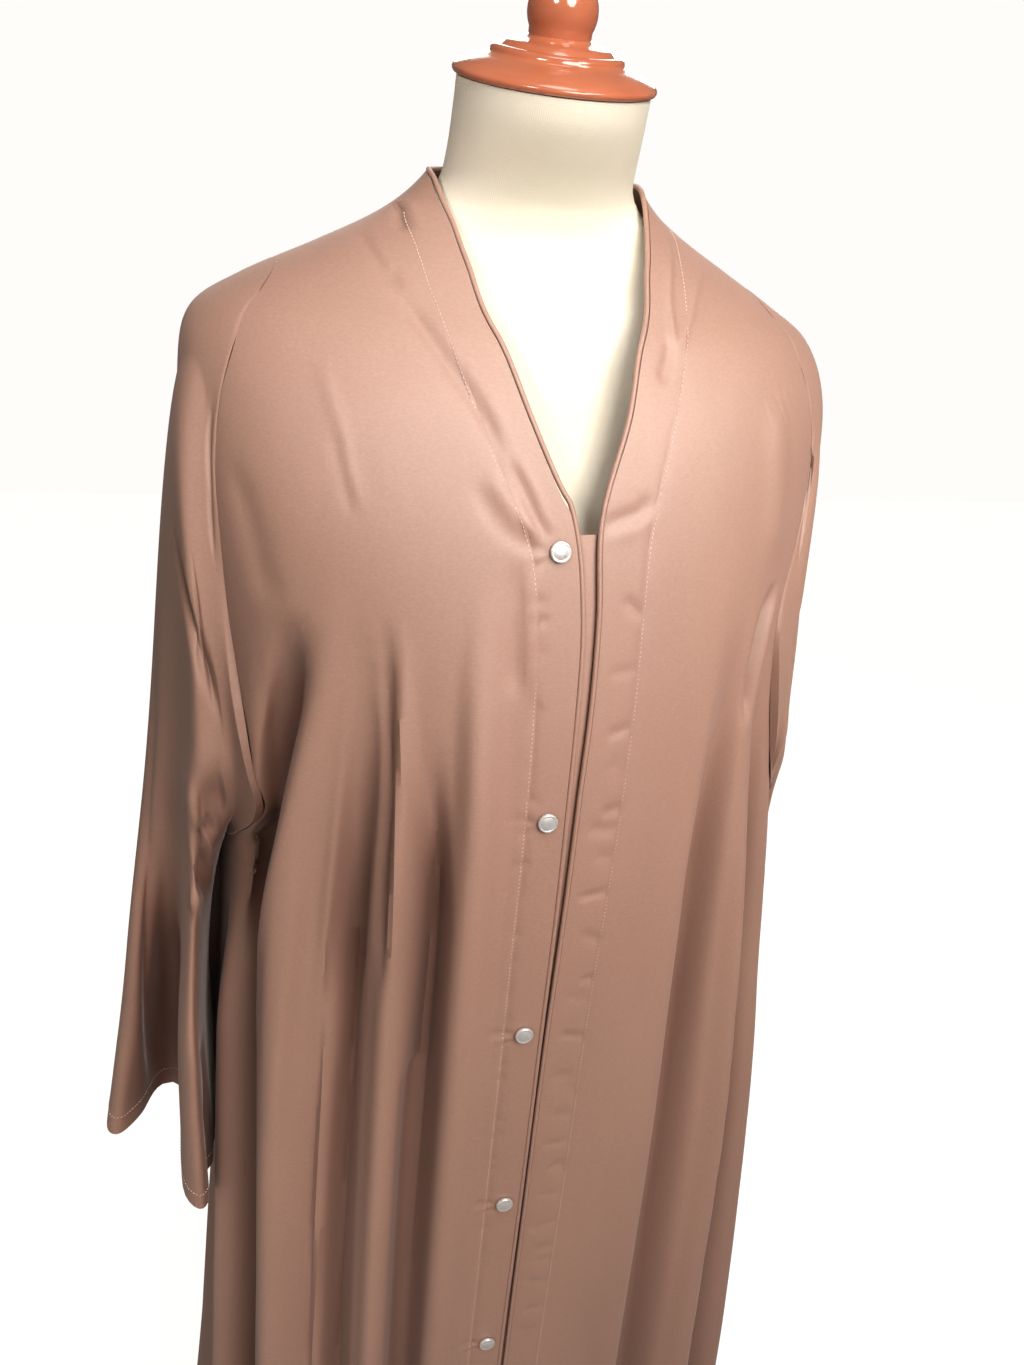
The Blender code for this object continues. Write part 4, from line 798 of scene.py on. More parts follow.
# The cuff's outline seen from above. Columns: turn round the loop, distance out, y.
CUFF_RIGHT = (
    (0, 0.3050, 0.012), (25, 0.3000, -0.034), (43, 0.2780, -0.020), (60, 0.2570, 0.004),
    (75, 0.2480, -0.044), (86, 0.2425, -0.096), (97, 0.2270, -0.112), (112, 0.2190, -0.080),
    (145, 0.2165, -0.014), (180, 0.2190, 0.036), (225, 0.2320, 0.092), (262, 0.2550, 0.118),
    (300, 0.2830, 0.098), (335, 0.3005, 0.054),
)
CUFF_LEFT = (
    (0, 0.2890, 0.090), (25, 0.2860, 0.048), (50, 0.2790, 0.020), (70, 0.2720, 0.004),
    (86, 0.2650, -0.003), (100, 0.2560, -0.002), (115, 0.2520, 0.012), (145, 0.2550, 0.052),
    (180, 0.2610, 0.096), (220, 0.2690, 0.140), (255, 0.2830, 0.166), (285, 0.2960, 0.166),
    (310, 0.2990, 0.150), (335, 0.2950, 0.120),
)
# Folds of a sleeve: angle round the loop (0 outer fold, 90 front, 180 underarm) and share of the way to
# the cuff, where it starts and where it is full, depth outward at full, half width in degrees.
# Columns: start, full, angle_top, angle_low, depth, width.
SLEEVE_FOLDS_RIGHT = (
    (0.10, 0.40, 24.0, 22.0, 0.004, 20.0),
    (0.16, 0.50, 56.0, 58.0, -0.009, 22.0),
    (0.30, 0.90, 230.0, 228.0, -0.008, 28.0),
    (0.20, 0.80, 300.0, 302.0, -0.012, 30.0),
)
SLEEVE_FOLDS_LEFT = (
    (0.20, 0.60, 20.0, 20.0, 0.004, 22.0),
    (0.25, 0.80, 335.0, 335.0, 0.005, 26.0),
    (0.30, 0.90, 305.0, 305.0, -0.004, 20.0),
)
SLEEVE_CLEARANCE = 0.0025  # between a hanging sleeve and the body
SLEEVE_FULLNESS = 0.0170  # least depth between the two layers of a hanging sleeve
FRONT_EDGE_TURN = 0.69  # the outer layer reaches a little farther round the sleeve's front than its back
FULL_BELOW = 1.270
CUFF_FROM = 0.25  # share of the sleeve at which the cuff's outline begins to show
ARMHOLE_FADE = 0.42  # share of the sleeve over which the armhole's own outline fades out
UNDERARM_FADE = {-1: 0.15, 1: 0.45}  # how much farther down it lasts at the underarm, right and left


def armhole_places(side):
    """Places round an armhole: down the front from the shoulder, then up the back to the shoulder."""
    front = [outer_edge(row, side, False) for row in range(UNDERARM_ROW + 1)]
    back = [outer_edge(row, side, True) for row in range(UNDERARM_ROW - 1, 0, -1)]
    return np.array(front + back)


def run_along(points):
    """Distance along a line at each of its points."""
    return np.concatenate([[0], np.cumsum(gaps(points))])


def loop_angles(points):
    """Angle round the sleeve for each point of the armhole loop, by share of the way down."""
    run = run_along(points)
    half = run[UNDERARM_ROW]
    closing = run[-1] + np.linalg.norm(points[0] - points[-1])
    return np.where(run <= half, 180 * run / half, 180 + 180 * (run - half) / (closing - half))


def cuff_outline(turn, side):
    """(out, y) of the cuff at these angles round it."""
    table = CUFF_LEFT if side > 0 else CUFF_RIGHT
    turns = [row[0] for row in table]
    places = [turns[-2] - 360, turns[-1] - 360] + turns + [360 + turns[0], 360 + turns[1]]
    position = np.interp(turn, places, np.arange(len(places)) - 2.0)
    return hermite_round([row[1:] for row in table], position)


def sleeve_guide(turn, share, side):
    """The sleeve's hanging loop: four quarter points above, turning into the cuff's own outline."""
    table = SLEEVE_LEFT if side > 0 else SLEEVE_RIGHT
    row = section(share * (len(table) - 1), table, SLEEVE_COLUMNS)
    cuff_row = dict(zip(SLEEVE_COLUMNS, table[-1]))
    cosine, sine = np.cos(np.radians(turn)), np.sin(np.radians(turn))

    def around(outer, front, under, back):
        across, along = (outer + under) / 2, (front + back) / 2
        plain = (across + along) / 2 + (outer - under) / 2 * cosine + (front - back) / 2 * sine
        return plain + (across - along) / 2 * np.cos(np.radians(2 * turn))

    def plan(row):
        middle_y = (row["front_y"] + row["back_y"]) / 2
        x = around(row["outer"], row["front"], row["under"], row["back"])
        return np.stack([x, around(middle_y, row["front_y"], middle_y, row["back_y"])], axis=-1)

    z = around(row["outer_z"], row["front_z"], row["under_z"], row["back_z"])
    settled = ease((share - CUFF_FROM) / (1 - CUFF_FROM))
    change = cuff_outline(turn, side) - plan(cuff_row)
    flat = plan(row) + change * settled[..., None]
    return np.stack([side * flat[..., 0], flat[..., 1], z], axis=-1)


def sleeve_fold(turn, share, side):
    """How far a sleeve's folds move its cloth outward."""
    total = np.zeros(np.broadcast(turn, share).shape)
    for start, full, top, low, depth, width in SLEEVE_FOLDS_LEFT if side > 0 else SLEEVE_FOLDS_RIGHT:
        grown = ease((share - start) / (full - start))
        away = np.clip(np.abs(turned_away(turn, top + (low - top) * grown)) / width, 0, 1)
        total += depth * grown * 0.5 * (1 + np.cos(math.pi * away))
    return total


SLEEVE_AROUND, SLEEVE_DOWN = 190, 170  # fine grid of a sleeve
START_GAP = 0.75  # share of the seam gap by which the sleeve starts inside the armhole's edge
UNDERARM_TURN = 180  # where the sleeve starts a seam gap outside the body cloth's outer face
UNDER_SPAN, UNDER_GAIN = 115, 1.15  # how gradually its start gets there from the shoulder
CLEARS_FROM = 0.2  # share down the sleeve from which it keeps its full clearance
FULL_OVER = 0.12  # height over which the sleeve reaches its full depth
RELAXINGS, RELAXING = 220, 0.9  # rounds that smooth the upper sleeve's corners, and their strength
RELAXED_FROM, RELAXED_OVER = 0.004, 0.04  # share down the sleeve where the smoothing begins
RELAXED_TO, RELAXED_FADE = 0.46, 0.28  # and where it fades out


def pushed_out(points, share, clearance):
    """Points moved straight out from the pole's line until they clear the body."""
    x, y, z = points[..., 0], points[..., 1], points[..., 2]
    push = np.where(share > 0, np.maximum(1.0, (body_reach(x, y, z) + clearance) / np.hypot(x, y)), 1.0)
    return np.concatenate([points[..., :2] * push[..., None], points[..., 2:]], axis=-1)


def sleeve_start(side):
    """The sleeve's first loop, just inside the armhole's edge, and the turn of each of its points."""
    coarse = armhole_places(side)
    edge, edge_normals = body_points(coarse), body_normals(coarse)
    turns = loop_angles(edge)
    along_edge = np.roll(edge, -1, axis=0) - np.roll(edge, 1, axis=0)
    into_hole = unit(np.cross(along_edge, edge_normals) * -side)
    under = math.pi * ease((1 - np.abs(turns - UNDERARM_TURN) / UNDER_SPAN) * UNDER_GAIN)[:, None]
    start = edge + into_hole * SEAM_GAP * START_GAP + edge_normals * SEAM_GAP * (1 - np.cos(under)) / 2
    position = np.linspace(0, len(coarse), SLEEVE_AROUND, endpoint=False)
    turns = np.interp(position, np.arange(len(turns) + 1), np.append(turns, 360))
    return hermite_round(start, position), turns


def relaxed(points, share):
    """The upper sleeve's loops with their corners smoothed away."""
    strength = ease((share - RELAXED_FROM) / RELAXED_OVER) * (1 - ease((share - RELAXED_TO) / RELAXED_FADE))
    for _ in range(RELAXINGS):
        beside = (np.roll(points, 1, axis=1) + np.roll(points, -1, axis=1)) / 2
        beside[1:-1] = (beside[1:-1] + (points[2:] + points[:-2]) / 2) / 2
        points = points + (beside - points) * strength[..., None] * RELAXING
    return points


def sleeve_points(side):
    """Fine loops of the sleeve's outer face from armhole to cuff, with each point's turn and share."""
    start, turns = sleeve_start(side)
    turn, share = np.meshgrid(turns, np.linspace(0, 1, SLEEVE_DOWN + 1))
    lasting = np.maximum(0.0, -np.cos(np.radians(turn))) * UNDERARM_FADE[side]
    fade = 1 - ease(share / (ARMHOLE_FADE + lasting))
    plain = sleeve_guide(turn, share, side)
    points = plain + (start - plain[0]) * fade[..., None]
    points += grid_normals(points, closed=True) * side * sleeve_fold(turn, share, side)[..., None]
    points[0] = start
    outer_turn = np.where(turn < 180, turn * FRONT_EDGE_TURN, turn)
    outside = np.sqrt(np.maximum(0.0, np.cos(np.radians(outer_turn))))
    clear = SEAM_GAP + SLEEVE_CLEARANCE * ease(share / CLEARS_FROM)
    full = SLEEVE_FULLNESS * outside * ease((FULL_BELOW - points[..., 2]) / FULL_OVER)
    points = relaxed(pushed_out(points, share, clear + full), share)
    return pushed_out(points, share, clear), turn, share


SLEEVE_GIRTH, SLEEVE_LENGTH = 0.42, 0.60  # of a sleeve laid flat
SLEEVE_CREASES = (  # depth mm, half width mm, lip mm, route of (turn round the sleeve, share down it)
    (-4.5, 8.0, 0.0, ((38, 0.36), (60, 0.33), (76, 0.28), (90, 0.20), (104, 0.12))),
    (-5.0, 4.0, 1.5, ((84, 0.53), (97, 0.48), (113, 0.41), (131, 0.29))),
    (-9.0, 13.0, 0.0, ((94, 0.53), (112, 0.47), (131, 0.38))),
    (4.0, 6.0, 0.0, ((88, 0.58), (104, 0.53), (122, 0.47))),
    (4.0, 11.0, 0.0, ((55, 0.58), (80, 0.49), (99, 0.38), (117, 0.20), (121, 0.05))),
    (-4.0, 8.0, 0.0, ((88, 0.46), (103, 0.39), (118, 0.30), (129, 0.18))),
    (-5.0, 7.0, 1.0, ((31, 0.60), (37, 0.68), (43, 0.79), (50, 0.88), (56, 0.96))),
    (-2.0, 7.0, 0.0, ((40, 0.05), (56, 0.03), (70, 0.05))),
    (-1.6, 6.0, 0.0, ((70, 0.16), (86, 0.20), (100, 0.17))),
    (-2.4, 6.0, 0.0, ((20, 0.46), (26, 0.58), (29, 0.72), (27, 0.90))),
    (2.4, 7.0, 0.0, ((62, 0.64), (70, 0.76), (74, 0.90))),
    (-3.0, 8.0, 0.8, ((-40, 0.20), (-52, 0.34), (-70, 0.45), (-96, 0.50))),
    (-2.5, 8.0, 0.0, ((-55, 0.52), (-66, 0.66), (-72, 0.84), (-70, 1.1))),
    (2.2, 7.0, 0.0, ((-20, 0.40), (-30, 0.60), (-34, 0.85))),
)


def laid_sleeve(turn, share):
    return np.stack([turn / 360 * SLEEVE_GIRTH, share * SLEEVE_LENGTH], axis=-1)


LEFT_CREASES = 0.7  # depth of the left sleeve's creases as a share of the right's
CREASES_END = 200  # turns above this are the negative ones of the creases' routes
CREASES_FROM = 0.05  # share down the sleeve from which its creases have their full depth


def dressed_sleeve(side):
    """Creased loops of a sleeve and their normals."""
    points, turn, share = sleeve_points(side)
    normals = grid_normals(points, closed=True) * side
    flat = laid_sleeve(np.where(turn > CREASES_END, turn - 360, turn), share)
    depths = 1.0 if side < 0 else LEFT_CREASES
    creases = [(depth * depths, *rest) for depth, *rest in SLEEVE_CREASES]
    bent = creased(points, normals, flat, creases, laid_sleeve)
    return points + (bent - points) * ease(share / CREASES_FROM)[..., None], normals


# ---------------------------------------------------------------- cloth pieces
FRONT_CUT, BACK_CUT, SLEEVE_CUT = (0.46, 1.42), (0.90, 1.42), (0.46, 0.66)  # width and length laid flat
BAND_CUT, NECK_BAND_CUT, UNDERLAP_CUT = (0.030, 1.46), (0.020, 0.22), (0.045, 1.24)


def cloth_piece(part, points, normals, cloth, thickness=CLOTH, closed=False):
    """The wall that takes the place of a solid; half its surface is the cloth's area."""
    piece = shell(part + "_cloth", points, normals, thickness, cloth, [part], closed)


def panel(part, cut, points, normals, cloth, thickness=CLOTH):
    """A cloth piece whose normals are taken from its creased points; these only say which side is out."""
    cloth_piece(part, points, grid_normals(points, normals), cloth, thickness)


EDGE_HOLD = 0.022  # creases die out this close to the armhole seam
HOLD_FADE = 0.04  # and no longer do so this far below the underarm


def held(places, *edges):
    """Creased points and normals of a panel that stays true along the armholes at these edge columns."""
    points, normals = dressed(places)
    plain = body_points(places)
    kept = 1.0
    for edge in edges:
        apart = np.linalg.norm(plain - plain[:, edge:edge + 1 or None], axis=2)
        kept = kept * ease(apart / EDGE_HOLD)
    kept = np.maximum(kept, ease((ROWS[UNDERARM_ROW][0] - plain[..., 2]) / HOLD_FADE))
    return plain + (points - plain) * kept[..., None], normals


def build_front(side, cloth):
    places = refined(front_spots(side), FINE)
    panel("front_" + side_name(side), FRONT_CUT, *held(places, -1), cloth)


def build_back(cloth):
    places = refined(whole_back_spots(), BACK_FINE)
    panel("back", BACK_CUT, *held(places, 0, -1), cloth)


CUFF_STITCH = 0.965  # share of the way down the sleeve


def build_sleeve(side, cloth, thread):
    """A sleeve, with the stitches that hold its turned cuff."""
    points, normals = dressed_sleeve(side)
    cloth_piece("sleeve_" + side_name(side), points, normals, cloth, closed=True)
    row = int(round(CUFF_STITCH * SLEEVE_DOWN))
    loop, out = (np.vstack([grid[row], grid[row][:1]]) for grid in (points, normals))
    build_stitches("cuff_stitches_" + side_name(side), loop, out, thread)


def build_band(side, cloth):
    places = refined(band_spots(side), BAND_FINE)
    panel("band_" + side_name(side), BAND_CUT, *dressed(places), cloth, BAND_CLOTH)


def build_neck_band(cloth):
    places = refined(neck_band_spots(), BAND_FINE)
    panel("band_neck", NECK_BAND_CUT, *dressed(places), cloth, BAND_CLOTH)


def closure_x(height):
    return (opening_x("right", height) + opening_x("left", height)) / 2


UNDERLAP_SHARES = (-1, -0.33, 0.33, 1)
UNDERLAP_NEXT_ROW = 0.02  # least height between its top and the next row


def build_underlap(cloth):
    heights = [UNDERLAP_TOP] + [row[2] for row in ROWS if row[2] < UNDERLAP_TOP - UNDERLAP_NEXT_ROW]
    offsets = [w * UNDERLAP_HALF_WIDTH for w in UNDERLAP_SHARES]
    spots = np.array([[spot(closure_x(h) + offset, h) for offset in offsets] for h in heights])
    places = refined(spots, BAND_FINE)
    points, normals = dressed(places)
    sink = max(BAND_CLOTH, 2 * PIPING_RADIUS) + SEAM_GAP
    panel("underlap", UNDERLAP_CUT, points - normals * sink, normals, cloth)


CORD_INSET, CORD_RADIUS = 1.7 * MM, 1.55 * MM  # of the piping, pressed against the band's edge
CORD_STEP, CORD_SIDES = 3 * MM, 10
CORD_SINK = 0.5  # share of its radius that lies below the cloth's face


def cord(name, route, material, replaced):
    """A round cord along a route of points."""
    tangents = unit(np.gradient(route, axis=0))
    rings = []
    reference = np.array((0.0, 1.0, 0.0))
    turns = np.linspace(0, 2 * math.pi, CORD_SIDES, endpoint=False)[:, None]
    for centre, tangent in zip(route, tangents):
        reference = reference - tangent * (reference @ tangent)
        reference /= np.linalg.norm(reference)
        second = np.cross(tangent, reference)
        rings.append(centre + CORD_RADIUS * (np.cos(turns) * reference + np.sin(turns) * second))
    return skin(name, np.array(rings), material, replaced)


def build_piping(cloth):
    """One cord: up the right front's edge, round the back of the neck and down the left front's edge."""
    down = range(1, len(ROWS))
    level = front_opening(0, 1, CORD_INSET)[1]
    places = [front_opening(row, -1, CORD_INSET) for row in reversed(down)]
    places += [(angle - 360, level) for angle in NECK_ANGLES[::-1]]
    places += [front_opening(row, 1, CORD_INSET) for row in down]
    coarse = np.array(places)
    coarse[:, 0] = np.unwrap(coarse[:, 0], period=360)
    points, normals = dressed(hermite(coarse, steps(gaps(body_points(coarse)), CORD_STEP)))
    cord("piping_cord", points - normals * CORD_RADIUS * CORD_SINK, cloth, ["piping"])


# ---------------------------------------------------------------- stitches
THREAD_RADIUS = 0.36 * MM
STITCH_PITCH, STITCH_FLOAT = 2.8 * MM, 0.62  # and the share of it that lies on the cloth
STITCH_SIGHT = 0.3 * MM  # how far ahead and behind a stitch the route's direction is taken
STITCH_CORNERS = np.radians((45, 135, 225, 315))
# Rings of one stitch: share of its length, then width and rise in radii of the thread.
STITCH_RINGS = ((-0.5, 0.0, -1.0), (-0.42, 1.0, -0.2), (0.0, 1.15, 0.5), (0.42, 1.0, -0.2), (0.5, 0.0, -1.0))


def build_stitches(name, points, normals, thread):
    """A row of short thread floats along a route."""
    run = run_along(points)
    centres = np.arange(STITCH_PITCH / 2, run[-1] - STITCH_PITCH / 2, STITCH_PITCH)

    def at(values, where):
        return np.stack([np.interp(where, run, values[:, k]) for k in range(3)], axis=-1)

    along = unit(at(points, centres + STITCH_SIGHT) - at(points, centres - STITCH_SIGHT))
    up = at(normals, centres)
    up = unit(up - along * np.sum(along * up, axis=1, keepdims=True))
    aside = np.cross(along, up)
    middle = at(points, centres)
    vertices, faces = [], []
    for place, width, rise in STITCH_RINGS:
        for turn in STITCH_CORNERS:
            ahead = middle + along * place * STITCH_FLOAT * STITCH_PITCH
            raised = ahead + up * THREAD_RADIUS * (rise + width * math.sin(turn))
            vertices.append(raised + aside * THREAD_RADIUS * width * math.cos(turn))
    ring_count = len(STITCH_RINGS)
    first = np.arange(len(centres)) * ring_count * 4
    for ring in range(ring_count - 1):
        for k in range(4):
            corners = (4 * ring + k, 4 * ring + (k + 1) % 4, 4 * ring + 4 + (k + 1) % 4, 4 * ring + 4 + k)
            faces.append(first[:, None] + np.array(corners))
    flat = np.stack(vertices, axis=1).reshape(-1, 3)
    new_piece(name, flat, np.concatenate(faces).tolist(), thread)


STITCH_OUT = 1.5 * MM  # from the band's seam into the front


def build_band_stitches(side, thread):
    seam = np.array([front_seam(row, side) for row in range(1, len(ROWS))], float)
    points, normals = dressed(hermite(seam, steps(gaps(body_points(seam)), BAND_FINE)))
    ahead = np.gradient(points, axis=0)
    out = np.cross(normals, ahead)
    out *= (np.sign(out[:, 0]) * side / np.linalg.norm(out, axis=1))[:, None]
    build_stitches("band_stitches_" + side_name(side), points + out * STITCH_OUT, normals, thread)


# ---------------------------------------------------------------- turned pieces
def lathe(name, profile, sides, material, replaced, place=Matrix.Identity(4), smooth_angle=40):
    """A solid turned about Z from (radius, height) points that start and end on the axis."""
    points, faces, rings = [], [], []
    for radius, height in profile:
        first = len(points)
        number = 1 if radius < 1e-6 else sides
        rings.append([first + k for k in range(number)])
        for k in range(number):
            turn = 2 * math.pi * k / sides
            points.append(place @ Vector((radius * math.cos(turn), radius * math.sin(turn), height)))
    for low, high in zip(rings, rings[1:]):
        for k in range(sides):
            n = (k + 1) % sides
            if len(low) == 1:
                faces.append((low[0], high[n], high[k]))
            elif len(high) == 1:
                faces.append((low[k], low[n], high[0]))
            else:
                faces.append((low[k], low[n], high[n], high[k]))
    return new_piece(name, [tuple(p) for p in points], faces, material, replaced, smooth_angle)


SNAP_SIDES, TURNED_SIDES, POLE_SIDES = 48, 128, 64
SNAP_PROFILE = (  # radius and height as shares of the snap's radius
    (0.0, 0.0), (0.97, 0.0), (1.0, 0.10), (1.0, 0.22), (0.97, 0.31), (0.90, 0.36), (0.83, 0.355),
    (0.78, 0.32), (0.74, 0.31), (0.66, 0.345), (0.50, 0.385), (0.32, 0.415), (0.15, 0.428), (0.0, 0.43),
)


def build_snaps(metal):
    """Dome caps, fastened, down the middle of the right front band."""
    profile = [(r * SNAP_RADIUS, h * SNAP_RADIUS) for r, h in SNAP_PROFILE]
    for number, (x, height) in enumerate(snap_spots()):
        points, normals = dressed(np.array([spot(x, height)]))
        normal = Vector(normals[0])
        origin = Vector(points[0]) + normal * SEAM_GAP
        place = Matrix.Translation(origin) @ normal.to_track_quat("Z", "Y").to_matrix().to_4x4()
        name = f"snap_{number + 1}"
        lathe(name + "_cap", profile, SNAP_SIDES, metal, [name], place)


FORM_COLUMNS = ("height", "middle_y", "half", "front", "back", "square")
FORM_LOWER = (
    (0.765, 0.000, 0.120, 0.070, 0.078, 2.1),
    (0.770, 0.000, 0.148, 0.088, 0.100, 2.1),
    (0.800, 0.000, 0.164, 0.098, 0.118, 2.1),
    (0.870, 0.000, 0.172, 0.104, 0.122, 2.1),
    (0.950, 0.000, 0.158, 0.104, 0.112, 2.1),
    (1.040, 0.000, 0.126, 0.099, 0.088, 2.1),
    (1.120, 0.000, 0.130, 0.108, 0.086, 2.1),
    (1.200, 0.000, 0.150, 0.130, 0.095, 2.2),
    (1.255, 0.000, 0.161, 0.128, 0.100, 2.3),
    (1.310, 0.000, 0.173, 0.112, 0.102, 2.3),
    (1.355, 0.000, 0.178, 0.094, 0.096, 2.2),
    (1.382, 0.000, 0.171, 0.082, 0.089, 2.1),
    (1.400, 0.000, 0.160, 0.074, 0.083, 2.0),
    (1.415, 0.000, 0.147, 0.067, 0.077, 2.0),
)
# Heights of the cloth's shoulder line that the form carries, and how far the form lies under them.
SHOULDER_HEIGHTS = (1.430, 1.440, 1.448, 1.456)
SHOULDER_DROP = CLOTH + 0.6 * MM
DROP_DOWN, DROP_IN = 0.9, 0.42  # shares of it that go down and in
SHOULDER_FRONT_SHARE, SHOULDER_BACK_SHARE = 0.70, 0.78
FORM_NECK = (
    (1.4640, 0.000, 0.0730, 0.0410, 0.0590, 2.0),
    (1.4710, -0.001, 0.0650, 0.0420, 0.0580, 2.0),
    (1.4810, -0.004, 0.0585, 0.0460, 0.0560, 2.0),
    (1.4970, -0.0115, 0.0563, 0.0510, 0.0560, 2.0),
    (1.5180, -0.0190, 0.0553, 0.0553, 0.0553, 2.0),
    (1.5330, -0.0235, 0.0550, 0.0550, 0.0550, 2.0),
)
NECK_TILT = math.radians(9.0)  # the neck's top and the cap lean forward
CAP_CENTRE = (0.0, -0.0235, 1.5330)


def shoulder_sections():
    """The form's sections under the cloth's shoulder line, the same on both sides."""
    rows = []
    for height in SHOULDER_HEIGHTS:
        cut = section(level_of(height))
        half = min(cut["half_left"], cut["half_right"])
        front, back = cut["front"] * SHOULDER_FRONT_SHARE, cut["back"] * SHOULDER_BACK_SHARE
        height, half = height - DROP_DOWN * SHOULDER_DROP, half - DROP_IN * SHOULDER_DROP
        rows.append((height, 0.0, half, front, back, 2.0))
    return rows


LEAN_FROM, LEAN_OVER = 1.485, 0.045  # height at which the neck begins to lean, and over how much
FORM_STEP, FORM_AROUND = 6 * MM, 96


def build_form(linen):
    table = list(FORM_LOWER) + shoulder_sections() + list(FORM_NECK)
    levels = steps(np.diff([row[0] for row in table]), FORM_STEP)
    cut = {name: values[:, None] for name, values in section(levels, table, FORM_COLUMNS).items()}
    turn = np.linspace(0, 2 * math.pi, FORM_AROUND, endpoint=False)[None, :]
    sine, cosine = np.sin(turn), np.cos(turn)
    deep = np.where(cosine >= 0, cut["front"], cut["back"])
    x = cut["half"] * np.sign(sine) * np.abs(sine) ** (2 / cut["square"])
    y = -deep * np.sign(cosine) * np.abs(cosine) ** (2 / cut["square"])
    lean = math.tan(NECK_TILT) * ease((cut["height"] - LEAN_FROM) / LEAN_OVER)
    points = np.stack([x, cut["middle_y"] + y, cut["height"] + lean * y], axis=-1)
    skin("form_torso", points, linen, ["form_body"])


BALL_RADIUS, BALL_HEIGHT = 0.0196, 0.0345
BALL_ANGLES = range(-26, 84, 6)  # degrees above its middle
CAP_PROFILE_LOW = (
    (0.0, 0.0), (0.0555, 0.0), (0.0571, 0.0005), (0.0578, 0.0016), (0.0579, 0.0027), (0.0575, 0.0036),
    (0.0562, 0.0047), (0.0545, 0.0060), (0.0490, 0.0086), (0.0430, 0.0108), (0.0385, 0.0122),
    (0.0378, 0.0128), (0.0375, 0.0140), (0.0371, 0.0151), (0.0360, 0.0161), (0.0345, 0.0166),
    (0.0333, 0.0164), (0.0325, 0.0160), (0.0317, 0.0165), (0.0300, 0.0185), (0.0285, 0.0192),
    (0.0240, 0.0200), (0.0205, 0.0208), (0.0185, 0.0217), (0.0175, 0.0225),
)


def build_cap(lacquer):
    profile = list(CAP_PROFILE_LOW)
    for degrees in BALL_ANGLES:
        turn = math.radians(degrees)
        profile.append((BALL_RADIUS * math.cos(turn), BALL_HEIGHT + BALL_RADIUS * math.sin(turn)))
    profile.append((0.0, BALL_HEIGHT + BALL_RADIUS))
    up = Vector((0, -math.sin(NECK_TILT), math.cos(NECK_TILT))) * SEAM_GAP
    place = Matrix.Translation(Vector(CAP_CENTRE) + up) @ Matrix.Rotation(NECK_TILT, 4, "X")
    lathe("form_turned_cap", profile, TURNED_SIDES, lacquer, ["form_cap"], place, 50)


BASE_RADIUS = 0.195
POLE_RADIUS = 0.016
BASE_PROFILE = (
    (0.0, 0.0), (BASE_RADIUS - 0.004, 0.0), (BASE_RADIUS, 0.004), (BASE_RADIUS, 0.013),
    (BASE_RADIUS - 0.007, 0.019), (0.060, 0.026), (0.030, 0.034), (0.026, 0.058), (0.0, 0.058),
)


def build_stand(lacquer, metal):
    lathe("stand_round_base", BASE_PROFILE, TURNED_SIDES, lacquer, ["stand_base"])
    foot, head = BASE_PROFILE[-1][1] + SEAM_GAP, FORM_LOWER[0][0] - SEAM_GAP
    profile = ((0, foot), (POLE_RADIUS, foot), (POLE_RADIUS, head), (0, head))
    lathe("stand_tube", profile, POLE_SIDES, metal, ["stand_pole"])


# ---------------------------------------------------------------- materials
WAVE_UNIT = 20  # a Wave node of scale 1 has this many radians in a metre


class Nodes:
    """The node tree of a material or of the room, with short calls for the nodes used here."""

    def __init__(self, owner, shader):
        owner.use_nodes = True
        self.owner, self.tree = owner, owner.node_tree
        self.shader = self.tree.nodes[shader]

    def feed(self, socket, value):
        """A link where the value is another node's output, and otherwise the socket's own value."""
        if isinstance(value, bpy.types.NodeSocket):
            self.tree.links.new(value, socket)
        else:
            socket.default_value = value

    def set(self, socket, value):
        self.feed(self.shader.inputs[socket], value)

    def node(self, kind, **sockets):
        made = self.tree.nodes.new(kind)
        for name, value in sockets.items():
            self.feed(made.inputs[name.replace("_", " ")], value)
        return made

    def place(self, scale=(1, 1, 1), turn=(0, 0, 0)):
        """The point in metres, scaled and turned."""
        coordinates = self.node("ShaderNodeTexCoord")
        mapping = self.node("ShaderNodeMapping", Vector=coordinates.outputs["Object"])
        mapping.inputs["Scale"].default_value = scale
        mapping.inputs["Rotation"].default_value = turn
        return mapping.outputs["Vector"]

    def noise(self, scales, detail=3.0, roughness=0.55):
        """Noise with this scale on each axis, in cells a metre."""
        place = self.place(scales)
        made = self.node("ShaderNodeTexNoise", Vector=place, Scale=1.0, Detail=detail, Roughness=roughness)
        return made.outputs["Fac"]

    def threads(self, period, distortion, turn=(0, 0, 0)):
        """Parallel ridges across X once it is turned, one for each period."""
        place, scale = self.place(turn=turn), math.tau / WAVE_UNIT / period
        wave = self.node("ShaderNodeTexWave", Vector=place, Scale=scale, Distortion=distortion)
        wave.bands_direction = "X"
        return wave.outputs["Fac"]

    def math(self, operation, *values):
        made = self.tree.nodes.new("ShaderNodeMath")
        made.operation = operation
        for socket, value in zip(made.inputs, values):
            self.feed(socket, value)
        return made.outputs[0]

    def ramp(self, factor, low, high, low_colour, high_colour):
        made = self.node("ShaderNodeValToRGB", Fac=factor)
        for element, place, colour in zip(made.color_ramp.elements, (low, high), (low_colour, high_colour)):
            element.position = place
            element.color = (*colour, 1.0)
        return made.outputs["Color"]

    def mix(self, first, second, blend="MULTIPLY", factor=1.0):
        """One colour multiplied by another, or blended into it."""
        made = self.tree.nodes.new("ShaderNodeMix")
        made.data_type = "RGBA"
        made.blend_type = blend
        for socket, value in (("Factor", factor), (6, first), (7, second)):
            self.feed(made.inputs[socket], value)
        return made.outputs[2]

    def bump(self, height, distance, **after):
        return self.node("ShaderNodeBump", Height=height, Distance=distance, **after).outputs["Normal"]


